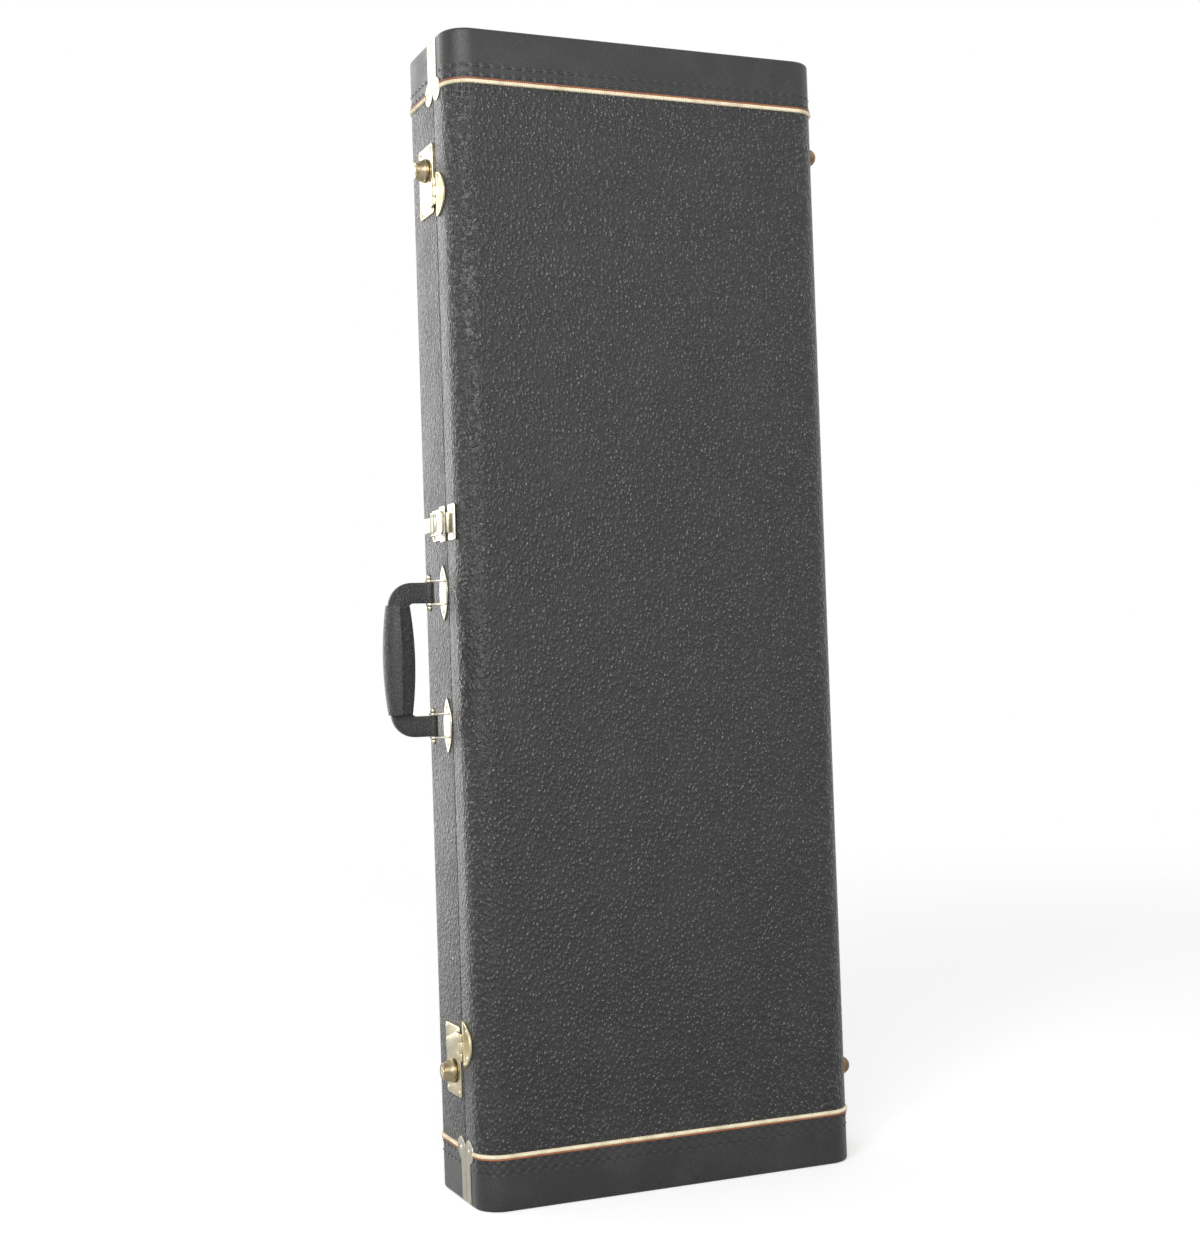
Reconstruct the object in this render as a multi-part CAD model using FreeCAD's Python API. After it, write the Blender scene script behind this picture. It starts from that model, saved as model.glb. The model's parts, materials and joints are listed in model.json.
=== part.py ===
import FreeCAD, Part
import math
import os
from FreeCAD import Vector

# A rectangular hard case for an electric guitar, standing on its end.  Millimetres.
# +Z runs up the case's length, the lid's large face looks along -Y, the handle and locks are on
# the -X side, and the hinges are on the +X side.  The origin is the centre of the bottom end face.

# ---- Driving dimensions: the whole case -------------------------------------------------------
CASE_LENGTH = 1040.0
CASE_WIDTH = 370.0
CASE_DEPTH = 128.0
LID_DEPTH = 43.0
EDGE_RADIUS = 24.0
SEAM_GAP = 0.6

# ---- Walls, skins and linings -----------------------------------------------------------------
PLY = 5.0
COVERING = 1.2
CAP_LEATHER = 1.2
LINING = 1.0
PAD_CLEARANCE = 0.3

# ---- End caps, their piping and the metal bands over the seam ----------------------------------
CAP_HEIGHT = 46.0
CAP_EDGE_RADIUS = 3.0
PIPING_WIDTH = 4.0
PIPING_STAND = 2.0
BAND_WIDTH = 11.2
BAND_THICKNESS = 0.8
BAND_CORNER_RADIUS = 3.6
EAR_RADIUS = 10.2
EAR_REACH = 8.0

# ---- Butt hinges on the +X side ----------------------------------------------------------------
HINGE_FROM_END = 150.0
HINGE_LENGTH = 60.0
HINGE_LEAF_WIDTH = 17.0
HINGE_LEAF_THICKNESS = 1.4
HINGE_KNUCKLE_RADIUS = 3.1
HINGE_KNUCKLE_CLEARANCE = 0.3
HINGE_PIN_RADIUS = 1.6
HINGE_FIXED_CLEARANCE = 0.02
RUNNING_CLEARANCE = 0.06
KNUCKLE_GAP = 0.4

# ---- Key locks: distances along Z are measured from the nearer end of the case ------------------
LOCK_PLATE_FROM_END = 92.0
LOCK_PLATE_LENGTH = 63.0
LOCK_PLATE_WIDTH = 39.0
LOCK_PLATE_FROM_SEAM = 5.0
LOCK_PLATE_THICKNESS = 1.2
LOCK_PLATE_CORNER = 2.5
KNOB_FROM_END = 113.5
KNOB_FROM_SEAM = 24.0
KNOB_BASE_RADIUS = 10.8
KNOB_FACE_RADIUS = 7.4
KNOB_SKIRT = 2.2
KNOB_HEIGHT = 10.5
KNOB_TRAVEL = 6.5
KNOB_STEM_RADIUS = 3.0
KNOB_SLOT_CLEARANCE = 0.4
CYLINDER_RADIUS = 4.6
CYLINDER_DEPTH = 7.0
CYLINDER_CLEARANCE = 0.05
KEYWAY_LENGTH = 5.2
KEYWAY_WIDTH = 1.3
KEYWAY_DEPTH = 4.0
HASP_TIP_FROM_END = 135.0
HASP_TIP_WIDTH = 14.0
HASP_ROOT_FROM_END = 138.5
HASP_ROOT_WIDTH = 24.0
HASP_LENGTH = 38.0
HASP_THICKNESS = 1.5
HASP_LIFT = 1.4
HASP_AXIS_FROM_SEAM = 3.0
HASP_KNUCKLE_RADIUS = 2.3
HASP_KNUCKLE_SHARE = 9.4
HASP_PIN_RADIUS = 1.1
HASP_PLATE_LENGTH = 40.0
HASP_PLATE_FROM_END = 142.0
HASP_PLATE_WIDTH = 20.0
HASP_PLATE_THICKNESS = 1.1
HASP_PLATE_RIM = 2.2
HASP_RIM_STAND = 1.1

# ---- Draw latch at mid length -------------------------------------------------------------------
LATCH_Z = 603.5
LATCH_BASE_NEAR_HEIGHT = 32.0
LATCH_BASE_FAR_HEIGHT = 28.0
LATCH_BASE_FROM_SEAM = 1.2
LATCH_BASE_STEP = 15.0
LATCH_BASE_WIDTH = 36.0
LATCH_BASE_THICKNESS = 1.2
LATCH_PIVOT_FROM_SEAM = 13.0
LATCH_PIVOT_OUT = 6.2
LATCH_LEVER_WIDTH = 13.4
LATCH_LEVER_REACH = 26.0
LATCH_LEVER_THICKNESS = 2.4
LATCH_LEVER_KNUCKLE = 2.7
LATCH_EAR_THICKNESS = 1.5
LATCH_EAR_RADIUS = 2.9
LATCH_SIDE_GAP = 0.35
LATCH_PIN_RADIUS = 1.2
CLAW_PIVOT_ALONG = 6.0
CLAW_PIVOT_OUT = 1.0
CLAW_ARM_THICKNESS = 1.5
CLAW_ARM_HEIGHT = 3.4
CLAW_WEB_FROM_PIVOT = 14.5
CLAW_LENGTH = 31.0
CLAW_THICKNESS = 1.6
STRIKE_LENGTH = 32.0
STRIKE_FROM_SEAM = 7.0
STRIKE_WIDTH = 19.0
STRIKE_THICKNESS = 1.2
STRIKE_BAR_WIDTH = 3.0
STRIKE_BAR_STAND = 2.0

# ---- Carrying handle -----------------------------------------------------------------------------
HANDLE_Z = 482.5
HANDLE_PIN_SPACING = 119.0
HANDLE_FROM_SEAM = 11.5
HANDLE_PLATE_LENGTH = 50.0
HANDLE_PLATE_WIDTH = 22.0
HANDLE_PLATE_THICKNESS = 1.4
HANDLE_EAR_CLEARANCE = 0.45
HANDLE_EAR_THICKNESS = 1.7
HANDLE_EAR_WIDTH = 8.4
HANDLE_PIN_OUT = 14.5
HANDLE_PIN_RADIUS = 2.0
HANDLE_PIN_CLEARANCE = 0.08
HANDLE_PIN_BALL_RADIUS = 3.0
STRAP_WIDTH = 18.5
STRAP_THICKNESS = 5.0
STRAP_LOOP_RADIUS = 4.6
STRAP_CORNER_RADIUS = 22.0
STRAP_INNER_RADIUS = 5.0
GRIP_OUT = 44.0
GRIP_LENGTH = 96.0
GRIP_RADIUS = 14.0
GRIP_END_RADIUS = 10.6

# ---- Domed feet on the hinge side ------------------------------------------------------------------
FOOT_RADIUS = 10.2
FOOT_HEIGHT = 9.5
FOOT_FROM_FACE = 26.0
FOOT_FROM_END = 85.0

# ---- Nails ---------------------------------------------------------------------------------------
NAIL_HEAD_RADIUS = 2.3
NAIL_HEAD_HEIGHT = 1.0
NAIL_SHANK_RADIUS = 0.9
NAIL_SHANK_LENGTH = 4.5
NAIL_INSET = 4.0

# ---- Padded interior -------------------------------------------------------------------------------
BACK_PAD_THICKNESS = 12.0
LID_PAD_THICKNESS = 6.0
LID_PAD_INSET = 10.0
SURROUND_LENGTH = 480.0
SURROUND_WALL = 18.0
SURROUND_BELOW_SEAM = 9.0
BOUT_STEP = 30.0
BOUT_SPACING = 158.0
NECK_SLOT_HALF_WIDTH = 36.0
NECK_REST_Z = 740.0
NECK_REST_LENGTH = 44.0
NECK_REST_HALF_WIDTH = 62.0
NECK_REST_BELOW_SEAM = 11.0
NECK_NOTCH_RADIUS = 28.0
NECK_NOTCH_DEPTH = 38.0
COMPARTMENT_Z = 505.0
COMPARTMENT_LENGTH = 190.0
COMPARTMENT_WIDTH = 55.0
COMPARTMENT_WALL = 3.0
COMPARTMENT_DEPTH = 30.0
COMPARTMENT_LID_THICKNESS = 3.0
COMPARTMENT_LID_GAP = 0.4
PULL_TAB_LENGTH = 16.0
PULL_TAB_WIDTH = 14.0
PULL_TAB_THICKNESS = 1.6

# ---- Worked out from the values above --------------------------------------------------------------
FRONT_Y = -CASE_DEPTH / 2
BACK_Y = CASE_DEPTH / 2
SEAM_Y = FRONT_Y + LID_DEPTH
BODY_EDGE_Y = SEAM_Y + SEAM_GAP / 2
LID_EDGE_Y = SEAM_Y - SEAM_GAP / 2
SIDE_X = CASE_WIDTH / 2
PIPING_TOP = CAP_HEIGHT + PIPING_WIDTH
CAP_STAND = CAP_LEATHER - COVERING
HINGE_AXIS_X = SIDE_X + HINGE_KNUCKLE_RADIUS + HINGE_KNUCKLE_CLEARANCE
HINGE_HEIGHTS = (HINGE_FROM_END, CASE_LENGTH / 2, CASE_LENGTH - HINGE_FROM_END)
BODY = "body"
LID = "lid"
FAR = 4 * CASE_LENGTH

finished = []


def save(name, shape):
    """Check one node's shape and write it to parts/."""
    for solid in shape.Solids:
        if not solid.isValid() or solid.Volume <= 0:
            raise ValueError(name + " holds an invalid solid")
    if not shape.Solids:
        raise ValueError(name + " is empty")
    shape.exportStep("parts/" + name + ".step")
    finished.append(name)
    print(f"{name:26s} {len(shape.Solids):2d} solids {sum(s.Volume for s in shape.Solids):12.1f} mm3")


# ---- Shape helpers ----------------------------------------------------------------------------------
def box(x_low, x_high, y_low, y_high, z_low, z_high):
    """A box between two opposite corners."""
    return Part.makeBox(x_high - x_low, y_high - y_low, z_high - z_low, Vector(x_low, y_low, z_low))


def case_prism(offset, z_low, z_high):
    """The case's rounded section grown by offset, from z_low to z_high."""
    half = SIDE_X + offset
    prism = box(-half, half, FRONT_Y - offset, BACK_Y + offset, z_low, z_high)
    upright = [edge for edge in prism.Edges if edge.BoundBox.ZLength > edge.BoundBox.XLength + 1]
    upright = [edge for edge in upright if edge.BoundBox.YLength < 1]
    return prism.makeFillet(EDGE_RADIUS + offset, upright)


def case_ring(outer, inner, z_low, z_high):
    """The closed wall between two offsets of the case's section."""
    return case_prism(outer, z_low, z_high).cut(case_prism(inner, z_low - 1, z_high + 1))


def keep_half(shape, half):
    """The part of a shape on the body's or the lid's side of the seam."""
    if half == BODY:
        return shape.common(box(-FAR, FAR, BODY_EDGE_Y, FAR, -FAR, FAR))
    return shape.common(box(-FAR, FAR, -FAR, LID_EDGE_Y, -FAR, FAR))


def turned_end(shape):
    """The same piece at the case's other end, mirrored end for end."""
    return shape.mirror(Vector(0, 0, CASE_LENGTH / 2), Vector(0, 0, 1))


def edge_of(half):
    """The seam edge of the body or the lid, and the direction away from the seam."""
    if half == BODY:
        return BODY_EDGE_Y, 1.0
    return LID_EDGE_Y, -1.0


def side_plate(y_low, y_high, z_low, z_high, thickness, corner, surface=-SIDE_X):
    """A flat plate with rounded corners on the -X side, standing out from a surface."""
    plate = box(surface - thickness, surface, y_low, y_high, z_low, z_high)
    corners = [edge for edge in plate.Edges if edge.BoundBox.XLength > thickness / 2]
    return plate.makeFillet(corner, corners)


def upright_cylinder(radius, x, y, z_low, z_high):
    """A cylinder along Z."""
    return Part.makeCylinder(radius, z_high - z_low, Vector(x, y, z_low))


def side_cylinder(radius, x_low, x_high, y, z):
    """A cylinder along X."""
    return Part.makeCylinder(radius, x_high - x_low, Vector(x_low, y, z), Vector(1, 0, 0))


def outline_solid(points, thickness, direction):
    """A prism of a closed flat outline, pushed along a direction."""
    wire = Part.makePolygon([Vector(*point) for point in points] + [Vector(*points[0])])
    return Part.Face(wire).extrude(direction * thickness)


def nail(x, y, z, outward):
    """One round-headed nail driven into a side; outward is +1 on the +X side and -1 on the -X side."""
    axis = Vector(outward, 0, 0)
    sphere_radius = (NAIL_HEAD_RADIUS ** 2 + NAIL_HEAD_HEIGHT ** 2) / (2 * NAIL_HEAD_HEIGHT)
    centre = Vector(x, y, z) + axis * (NAIL_HEAD_HEIGHT - sphere_radius)
    head = Part.makeSphere(sphere_radius, centre)
    head = head.common(Part.makeCylinder(NAIL_HEAD_RADIUS + 1, NAIL_HEAD_HEIGHT + 1, Vector(x, y, z), axis))
    shank = Part.makeCylinder(NAIL_SHANK_RADIUS, NAIL_SHANK_LENGTH, Vector(x, y, z), axis * -1)
    return head.fuse(shank).removeSplitter()


# ---- Shell: bent plywood wraps, end panels, coverings and linings --------------------------------------
def cut_back(shape, half):
    """Plywood cut back from the seam, so that the skin can be turned over its edge."""
    edge, away = edge_of(half)
    y_low, y_high = sorted((edge - away, edge + away * COVERING))
    return keep_half(shape, half).cut(box(-FAR, FAR, y_low, y_high, -FAR, FAR))


def wrap(half):
    """The bent plywood that forms one large face and half of both long sides."""
    ring = case_ring(-COVERING, -COVERING - PLY, CAP_LEATHER, CASE_LENGTH - CAP_LEATHER)
    return cut_back(ring, half)


def end_panel(half):
    """The flat plywood panel that closes the bottom end, inside the wrap."""
    return cut_back(case_prism(-COVERING - PLY, CAP_LEATHER, CAP_LEATHER + PLY), half)


def covering(half):
    """The grained vinyl glued over the wrap between the piping and turned over its rim."""
    ring = case_ring(0, -COVERING - PLY, PIPING_TOP, CASE_LENGTH - PIPING_TOP)
    return keep_half(ring, half).cut(wrap(half))


def lining(half):
    """The plush glued inside the plywood, open at the seam."""
    inner = -COVERING - PLY
    end = CAP_LEATHER + PLY
    outside = case_prism(inner, end, CASE_LENGTH - end)
    inside = case_prism(inner - LINING, end + LINING, CASE_LENGTH - end - LINING)
    return keep_half(outside.cut(inside), half)


# ---- End caps ------------------------------------------------------------------------------------------
def whole_cap():
    """The leather cup over the bottom end, before it is split at the seam."""
    outside = case_prism(CAP_STAND, 0, CAP_HEIGHT)
    rim = [edge for edge in outside.Edges if edge.BoundBox.ZMax < 1e-3]
    outside = outside.makeFillet(CAP_EDGE_RADIUS, rim)
    return outside.cut(case_prism(-COVERING, CAP_LEATHER, CAP_HEIGHT + 1))


def cap_rim(half):
    """The cap's leather where it is turned over the plywood's rim."""
    outside = case_prism(-COVERING, CAP_LEATHER, PIPING_TOP)
    inside = case_prism(-COVERING - PLY, CAP_LEATHER + PLY, PIPING_TOP + 1)
    return keep_half(outside.cut(inside), half).cut([wrap(half), end_panel(half)])


def band(half):
    """The U-shaped metal band along the bottom end's seam, with a round ear at each tip."""
    inner_x = SIDE_X + CAP_STAND
    outer_x = inner_x + BAND_THICKNESS
    edge, away = edge_of(half)
    y_low, y_high = sorted((edge, edge + away * BAND_WIDTH))
    ear_z = PIPING_TOP + EAR_REACH - EAR_RADIUS
    outside = box(-outer_x, outer_x, y_low, y_high, 0, ear_z)
    bends = [e for e in outside.Edges if e.BoundBox.YLength > 1 and e.BoundBox.ZMax < 1e-3]
    outside = outside.makeFillet(BAND_CORNER_RADIUS, bends)
    inside = box(-inner_x, inner_x, y_low - 1, y_high + 1, BAND_THICKNESS, ear_z + 1)
    bends = [e for e in inside.Edges if e.BoundBox.YLength > 1 and e.BoundBox.ZMax < BAND_THICKNESS + 1e-3]
    inside = inside.makeFillet(BAND_CORNER_RADIUS - BAND_THICKNESS, bends)
    strip = outside.cut(inside)
    ear_y = edge + away * EAR_RADIUS
    for x_low in (-outer_x, inner_x):
        strip = strip.fuse(side_cylinder(EAR_RADIUS, x_low, x_low + BAND_THICKNESS, ear_y, ear_z))
    return strip.removeSplitter()


def cap(half):
    """One half of the end cap, with the band let in flush with the end face."""
    cup = keep_half(whole_cap(), half).fuse(cap_rim(half))
    return cup.cut(band(half)).removeSplitter()


def piping(half):
    """The round bead between the cap and the covering, stopped at the band's ears."""
    bead = case_prism(PIPING_STAND, CAP_HEIGHT, PIPING_TOP)
    rims = [e for e in bead.Edges if e.BoundBox.ZLength < 1e-3]
    bead = bead.makeFillet(PIPING_WIDTH / 2 - 0.05, rims)
    bead = bead.cut(case_prism(-COVERING, CAP_HEIGHT - 1, PIPING_TOP + 1))
    edge, away = edge_of(half)
    stop_y = edge + away * 2 * EAR_RADIUS
    if half == BODY:
        return bead.common(box(-FAR, FAR, stop_y, FAR, -FAR, FAR))
    return bead.common(box(-FAR, FAR, -FAR, stop_y, -FAR, FAR))


def end_nails(half):
    """The nail in each ear of the band."""
    edge, away = edge_of(half)
    ear_y = edge + away * EAR_RADIUS
    ear_z = PIPING_TOP + EAR_REACH - EAR_RADIUS
    surface = SIDE_X + CAP_STAND + BAND_THICKNESS
    return [nail(side * surface, ear_y, ear_z, side) for side in (-1, 1)]


# ---- Hinges --------------------------------------------------------------------------------------------
def knuckle_span(index, centre_z):
    """The Z range of one of a hinge's three knuckles."""
    low = centre_z - HINGE_LENGTH / 2
    third = HINGE_LENGTH / 3
    inset = KNUCKLE_GAP / 2
    return low + index * third + inset, low + (index + 1) * third - inset


def hinge_leaf(half, centre_z):
    """One leaf of a butt hinge with its knuckles: two on the body, one on the lid."""
    edge, away = edge_of(half)
    clear = HINGE_KNUCKLE_RADIUS + KNUCKLE_GAP
    near = SEAM_Y + away * clear
    far = SEAM_Y + away * (clear + HINGE_LEAF_WIDTH)
    y_low, y_high = sorted((near, far))
    z_low = centre_z - HINGE_LENGTH / 2
    z_high = centre_z + HINGE_LENGTH / 2
    leaf = box(SIDE_X, SIDE_X + HINGE_LEAF_THICKNESS, y_low, y_high, z_low, z_high)
    bore = HINGE_PIN_RADIUS + (HINGE_FIXED_CLEARANCE if half == BODY else RUNNING_CLEARANCE)
    for index in ((0, 2) if half == BODY else (1,)):
        low, high = knuckle_span(index, centre_z)
        y_low, y_high = sorted((SEAM_Y + away * SEAM_GAP, near))
        tongue = box(SIDE_X, SIDE_X + HINGE_LEAF_THICKNESS, y_low, y_high, low, high)
        knuckle = upright_cylinder(HINGE_KNUCKLE_RADIUS, HINGE_AXIS_X, SEAM_Y, low, high)
        leaf = leaf.fuse([tongue, knuckle])
    z_low = centre_z - HINGE_LENGTH
    leaf = leaf.cut(upright_cylinder(bore, HINGE_AXIS_X, SEAM_Y, z_low, centre_z + HINGE_LENGTH))
    return leaf.removeSplitter()


def hinge_pins():
    """The three hinge pins, with a small head at each end."""
    pins = []
    for centre_z in HINGE_HEIGHTS:
        low = centre_z - HINGE_LENGTH / 2
        high = centre_z + HINGE_LENGTH / 2
        pin = upright_cylinder(HINGE_PIN_RADIUS, HINGE_AXIS_X, SEAM_Y, low, high)
        for z in (low - 1.0, high):
            head = upright_cylinder(HINGE_PIN_RADIUS + 0.8, HINGE_AXIS_X, SEAM_Y, z, z + 1.0)
            pin = pin.fuse(head)
        pins.append(pin.removeSplitter())
    return Part.makeCompound(pins)


def hinge_nails(half):
    """Three nails in each hinge leaf."""
    edge, away = edge_of(half)
    y = SEAM_Y + away * (HINGE_KNUCKLE_RADIUS + KNUCKLE_GAP + HINGE_LEAF_WIDTH / 2)
    surface = SIDE_X + HINGE_LEAF_THICKNESS
    spread = HINGE_LENGTH / 2 - 2 * NAIL_INSET
    return [nail(surface, y, z + step * spread, 1) for z in HINGE_HEIGHTS for step in (-1, 0, 1)]


# ---- Key locks, drawn at the bottom end ----------------------------------------------------------------
LOCK_PLATE_LOW_Y = SEAM_Y + LOCK_PLATE_FROM_SEAM
LOCK_PLATE_HIGH_Y = LOCK_PLATE_LOW_Y + LOCK_PLATE_WIDTH
LOCK_SURFACE_X = -SIDE_X - LOCK_PLATE_THICKNESS
KNOB_Y = SEAM_Y + KNOB_FROM_SEAM
KNOB_INNER_X = LOCK_SURFACE_X - KNOB_SLOT_CLEARANCE
KNOB_OUTER_X = KNOB_INNER_X - KNOB_HEIGHT
HASP_AXIS_Y = SEAM_Y - HASP_AXIS_FROM_SEAM
HASP_INNER_X = LOCK_SURFACE_X - HASP_LIFT
HASP_OUTER_X = HASP_INNER_X - HASP_THICKNESS
HASP_AXIS_X = -SIDE_X - HASP_KNUCKLE_RADIUS - KNUCKLE_GAP


def lock_plate():
    """The lock's flat plate, with the slot that the knob's stem slides in."""
    plate = side_plate(LOCK_PLATE_LOW_Y, LOCK_PLATE_HIGH_Y, LOCK_PLATE_FROM_END,
                       LOCK_PLATE_FROM_END + LOCK_PLATE_LENGTH, LOCK_PLATE_THICKNESS, LOCK_PLATE_CORNER)
    radius = KNOB_STEM_RADIUS + KNOB_SLOT_CLEARANCE
    low_z = KNOB_FROM_END - KNOB_TRAVEL
    slot = box(LOCK_SURFACE_X - 1, -SIDE_X + 1, KNOB_Y - radius, KNOB_Y + radius, low_z, KNOB_FROM_END)
    for z in (low_z, KNOB_FROM_END):
        slot = slot.fuse(side_cylinder(radius, LOCK_SURFACE_X - 1, -SIDE_X + 1, KNOB_Y, z))
    return plate.cut(slot)


def lock_knob():
    """The round sliding knob: a skirt, a tapered crown, a stem and the bore for the cylinder."""
    skirt = side_cylinder(KNOB_BASE_RADIUS, KNOB_INNER_X - KNOB_SKIRT, KNOB_INNER_X, KNOB_Y, KNOB_FROM_END)
    crown = Part.makeCone(KNOB_BASE_RADIUS - 0.8, KNOB_FACE_RADIUS, KNOB_HEIGHT - KNOB_SKIRT,
                          Vector(KNOB_INNER_X - KNOB_SKIRT, KNOB_Y, KNOB_FROM_END), Vector(-1, 0, 0))
    stem = side_cylinder(KNOB_STEM_RADIUS, KNOB_INNER_X - 1, -SIDE_X - 0.3, KNOB_Y, KNOB_FROM_END)
    bore = side_cylinder(CYLINDER_RADIUS + CYLINDER_CLEARANCE, KNOB_OUTER_X - 1,
                         KNOB_OUTER_X + CYLINDER_DEPTH + CYLINDER_CLEARANCE, KNOB_Y, KNOB_FROM_END)
    return skirt.fuse([crown, stem]).cut(bore).removeSplitter()


def lock_cylinder():
    """The key cylinder, with a plain keyway."""
    face_x = KNOB_OUTER_X - 0.4
    barrel = side_cylinder(CYLINDER_RADIUS, face_x, KNOB_OUTER_X + CYLINDER_DEPTH, KNOB_Y, KNOB_FROM_END)
    half_width = KEYWAY_WIDTH / 2
    half_length = KEYWAY_LENGTH / 2
    keyway = box(face_x - 1, face_x + KEYWAY_DEPTH, KNOB_Y - half_width, KNOB_Y + half_width,
                 KNOB_FROM_END - half_length, KNOB_FROM_END + half_length)
    return barrel.cut(keyway)


def hasp_knuckles():
    """The Z ranges of the hasp's two outer knuckles and of the plate's middle one."""
    low = HASP_ROOT_FROM_END - HASP_ROOT_WIDTH / 2
    high = HASP_ROOT_FROM_END + HASP_ROOT_WIDTH / 2
    middle_low = HASP_ROOT_FROM_END - HASP_KNUCKLE_SHARE / 2
    middle_high = HASP_ROOT_FROM_END + HASP_KNUCKLE_SHARE / 2
    gap = KNUCKLE_GAP
    return ((low, middle_low - gap), (middle_high + gap, high)), (middle_low, middle_high)


def hasp_bore(radius):
    """A cutter along the hasp's pin."""
    low = HASP_ROOT_FROM_END - HASP_ROOT_WIDTH
    return upright_cylinder(radius, HASP_AXIS_X, HASP_AXIS_Y, low, low + 2 * HASP_ROOT_WIDTH)


def hasp():
    """The hinged lever that closes over the lock plate: straight on the knob's side, slanted below."""
    root_y = HASP_AXIS_Y
    tip_y = root_y + HASP_LENGTH
    near_tip = HASP_TIP_FROM_END - HASP_TIP_WIDTH / 2
    far_tip = HASP_TIP_FROM_END + HASP_TIP_WIDTH / 2
    near_root = HASP_ROOT_FROM_END - HASP_ROOT_WIDTH / 2
    far_root = HASP_ROOT_FROM_END + HASP_ROOT_WIDTH / 2
    shoulder_y = root_y + HASP_LENGTH * 0.3
    points = [(HASP_INNER_X, root_y, near_root), (HASP_INNER_X, shoulder_y, near_root),
              (HASP_INNER_X, tip_y, near_tip), (HASP_INNER_X, tip_y, far_tip),
              (HASP_INNER_X, shoulder_y, far_root), (HASP_INNER_X, root_y, far_root)]
    leaf = outline_solid(points, HASP_THICKNESS, Vector(-1, 0, 0))
    tip_corners = [e for e in leaf.Edges if e.BoundBox.YMin > tip_y - 1e-3 and e.BoundBox.ZLength < 1e-3]
    leaf = leaf.makeFillet(3.0, tip_corners)
    outer_spans, middle_span = hasp_knuckles()
    clear = HASP_KNUCKLE_RADIUS + KNUCKLE_GAP
    relief = box(HASP_OUTER_X - 5, HASP_INNER_X + 5, root_y - 5, root_y + clear,
                 middle_span[0] - KNUCKLE_GAP, middle_span[1] + KNUCKLE_GAP)
    leaf = leaf.cut(relief)
    for low, high in outer_spans:
        leaf = leaf.fuse(upright_cylinder(HASP_KNUCKLE_RADIUS, HASP_AXIS_X, HASP_AXIS_Y, low, high))
    return leaf.cut(hasp_bore(HASP_PIN_RADIUS + RUNNING_CLEARANCE)).removeSplitter()


def hasp_plate():
    """The D-shaped plate on the lid, with a raised rim and the middle knuckle."""
    edge_y = HASP_AXIS_Y - HASP_KNUCKLE_RADIUS - KNUCKLE_GAP
    half = HASP_PLATE_LENGTH / 2
    radius = HASP_PLATE_WIDTH

    def d_shape(inset, x_low, x_high):
        """The plate's D outline pulled in by inset, between two X values."""
        reach = radius - inset
        ellipse = side_cylinder(reach, 0, x_high - x_low, 0, 0)
        stretch = FreeCAD.Matrix()
        stretch.scale(1, 1, (half - inset) / reach)
        ellipse = ellipse.transformGeometry(stretch)
        ellipse.translate(Vector(x_low, edge_y, HASP_PLATE_FROM_END))
        return ellipse.common(box(-FAR, FAR, -FAR, edge_y - inset, -FAR, FAR))

    surface = -SIDE_X - HASP_PLATE_THICKNESS
    plate = d_shape(0, surface, -SIDE_X)
    rim = d_shape(0, surface - HASP_RIM_STAND, surface)
    rim = rim.cut(d_shape(HASP_PLATE_RIM, surface - HASP_RIM_STAND - 1, surface + 1))
    low, high = hasp_knuckles()[1]
    tongue = box(HASP_AXIS_X, -SIDE_X, edge_y - 1, HASP_AXIS_Y, low, high)
    knuckle = upright_cylinder(HASP_KNUCKLE_RADIUS, HASP_AXIS_X, HASP_AXIS_Y, low, high)
    plate = plate.fuse([rim, tongue, knuckle])
    return plate.cut(hasp_bore(HASP_PIN_RADIUS + HINGE_FIXED_CLEARANCE)).removeSplitter()


def hasp_pin():
    """The pin through the hasp's knuckles."""
    low = HASP_ROOT_FROM_END - HASP_ROOT_WIDTH / 2
    return upright_cylinder(HASP_PIN_RADIUS, HASP_AXIS_X, HASP_AXIS_Y, low, low + HASP_ROOT_WIDTH)


def lock_nails():
    """The nails in the lock plate's corners."""
    y_values = (LOCK_PLATE_LOW_Y + NAIL_INSET, LOCK_PLATE_HIGH_Y - NAIL_INSET)
    z_values = (LOCK_PLATE_FROM_END + NAIL_INSET, LOCK_PLATE_FROM_END + LOCK_PLATE_LENGTH - NAIL_INSET)
    return [nail(LOCK_SURFACE_X, y, z, -1) for y in y_values for z in z_values]


def hasp_plate_nails():
    """The two nails in the D-shaped plate."""
    y = HASP_AXIS_Y - HASP_KNUCKLE_RADIUS - HASP_PLATE_WIDTH / 2
    spread = HASP_PLATE_LENGTH / 2 - 2 * NAIL_INSET
    surface = -SIDE_X - HASP_PLATE_THICKNESS
    return [nail(surface, y, HASP_PLATE_FROM_END + side * spread, -1) for side in (-1, 1)]


# ---- Draw latch ----------------------------------------------------------------------------------------
LATCH_PIVOT_X = -SIDE_X - LATCH_PIVOT_OUT
LATCH_PIVOT_Y = SEAM_Y + LATCH_PIVOT_FROM_SEAM
CLAW_PIVOT_X = LATCH_PIVOT_X - CLAW_PIVOT_OUT
CLAW_PIVOT_Y = LATCH_PIVOT_Y + CLAW_PIVOT_ALONG
LEVER_HALF = LATCH_LEVER_WIDTH / 2
EAR_INNER = LEVER_HALF + LATCH_SIDE_GAP
EAR_OUTER = EAR_INNER + LATCH_EAR_THICKNESS
ARM_INNER = EAR_OUTER + LATCH_SIDE_GAP
ARM_OUTER = ARM_INNER + CLAW_ARM_THICKNESS
LATCH_BASE_X = -SIDE_X - LATCH_BASE_THICKNESS


def both_sides(inner, outer):
    """The two Z ranges at equal distances above and below the latch's centre."""
    return (LATCH_Z - outer, LATCH_Z - inner), (LATCH_Z + inner, LATCH_Z + outer)


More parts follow.
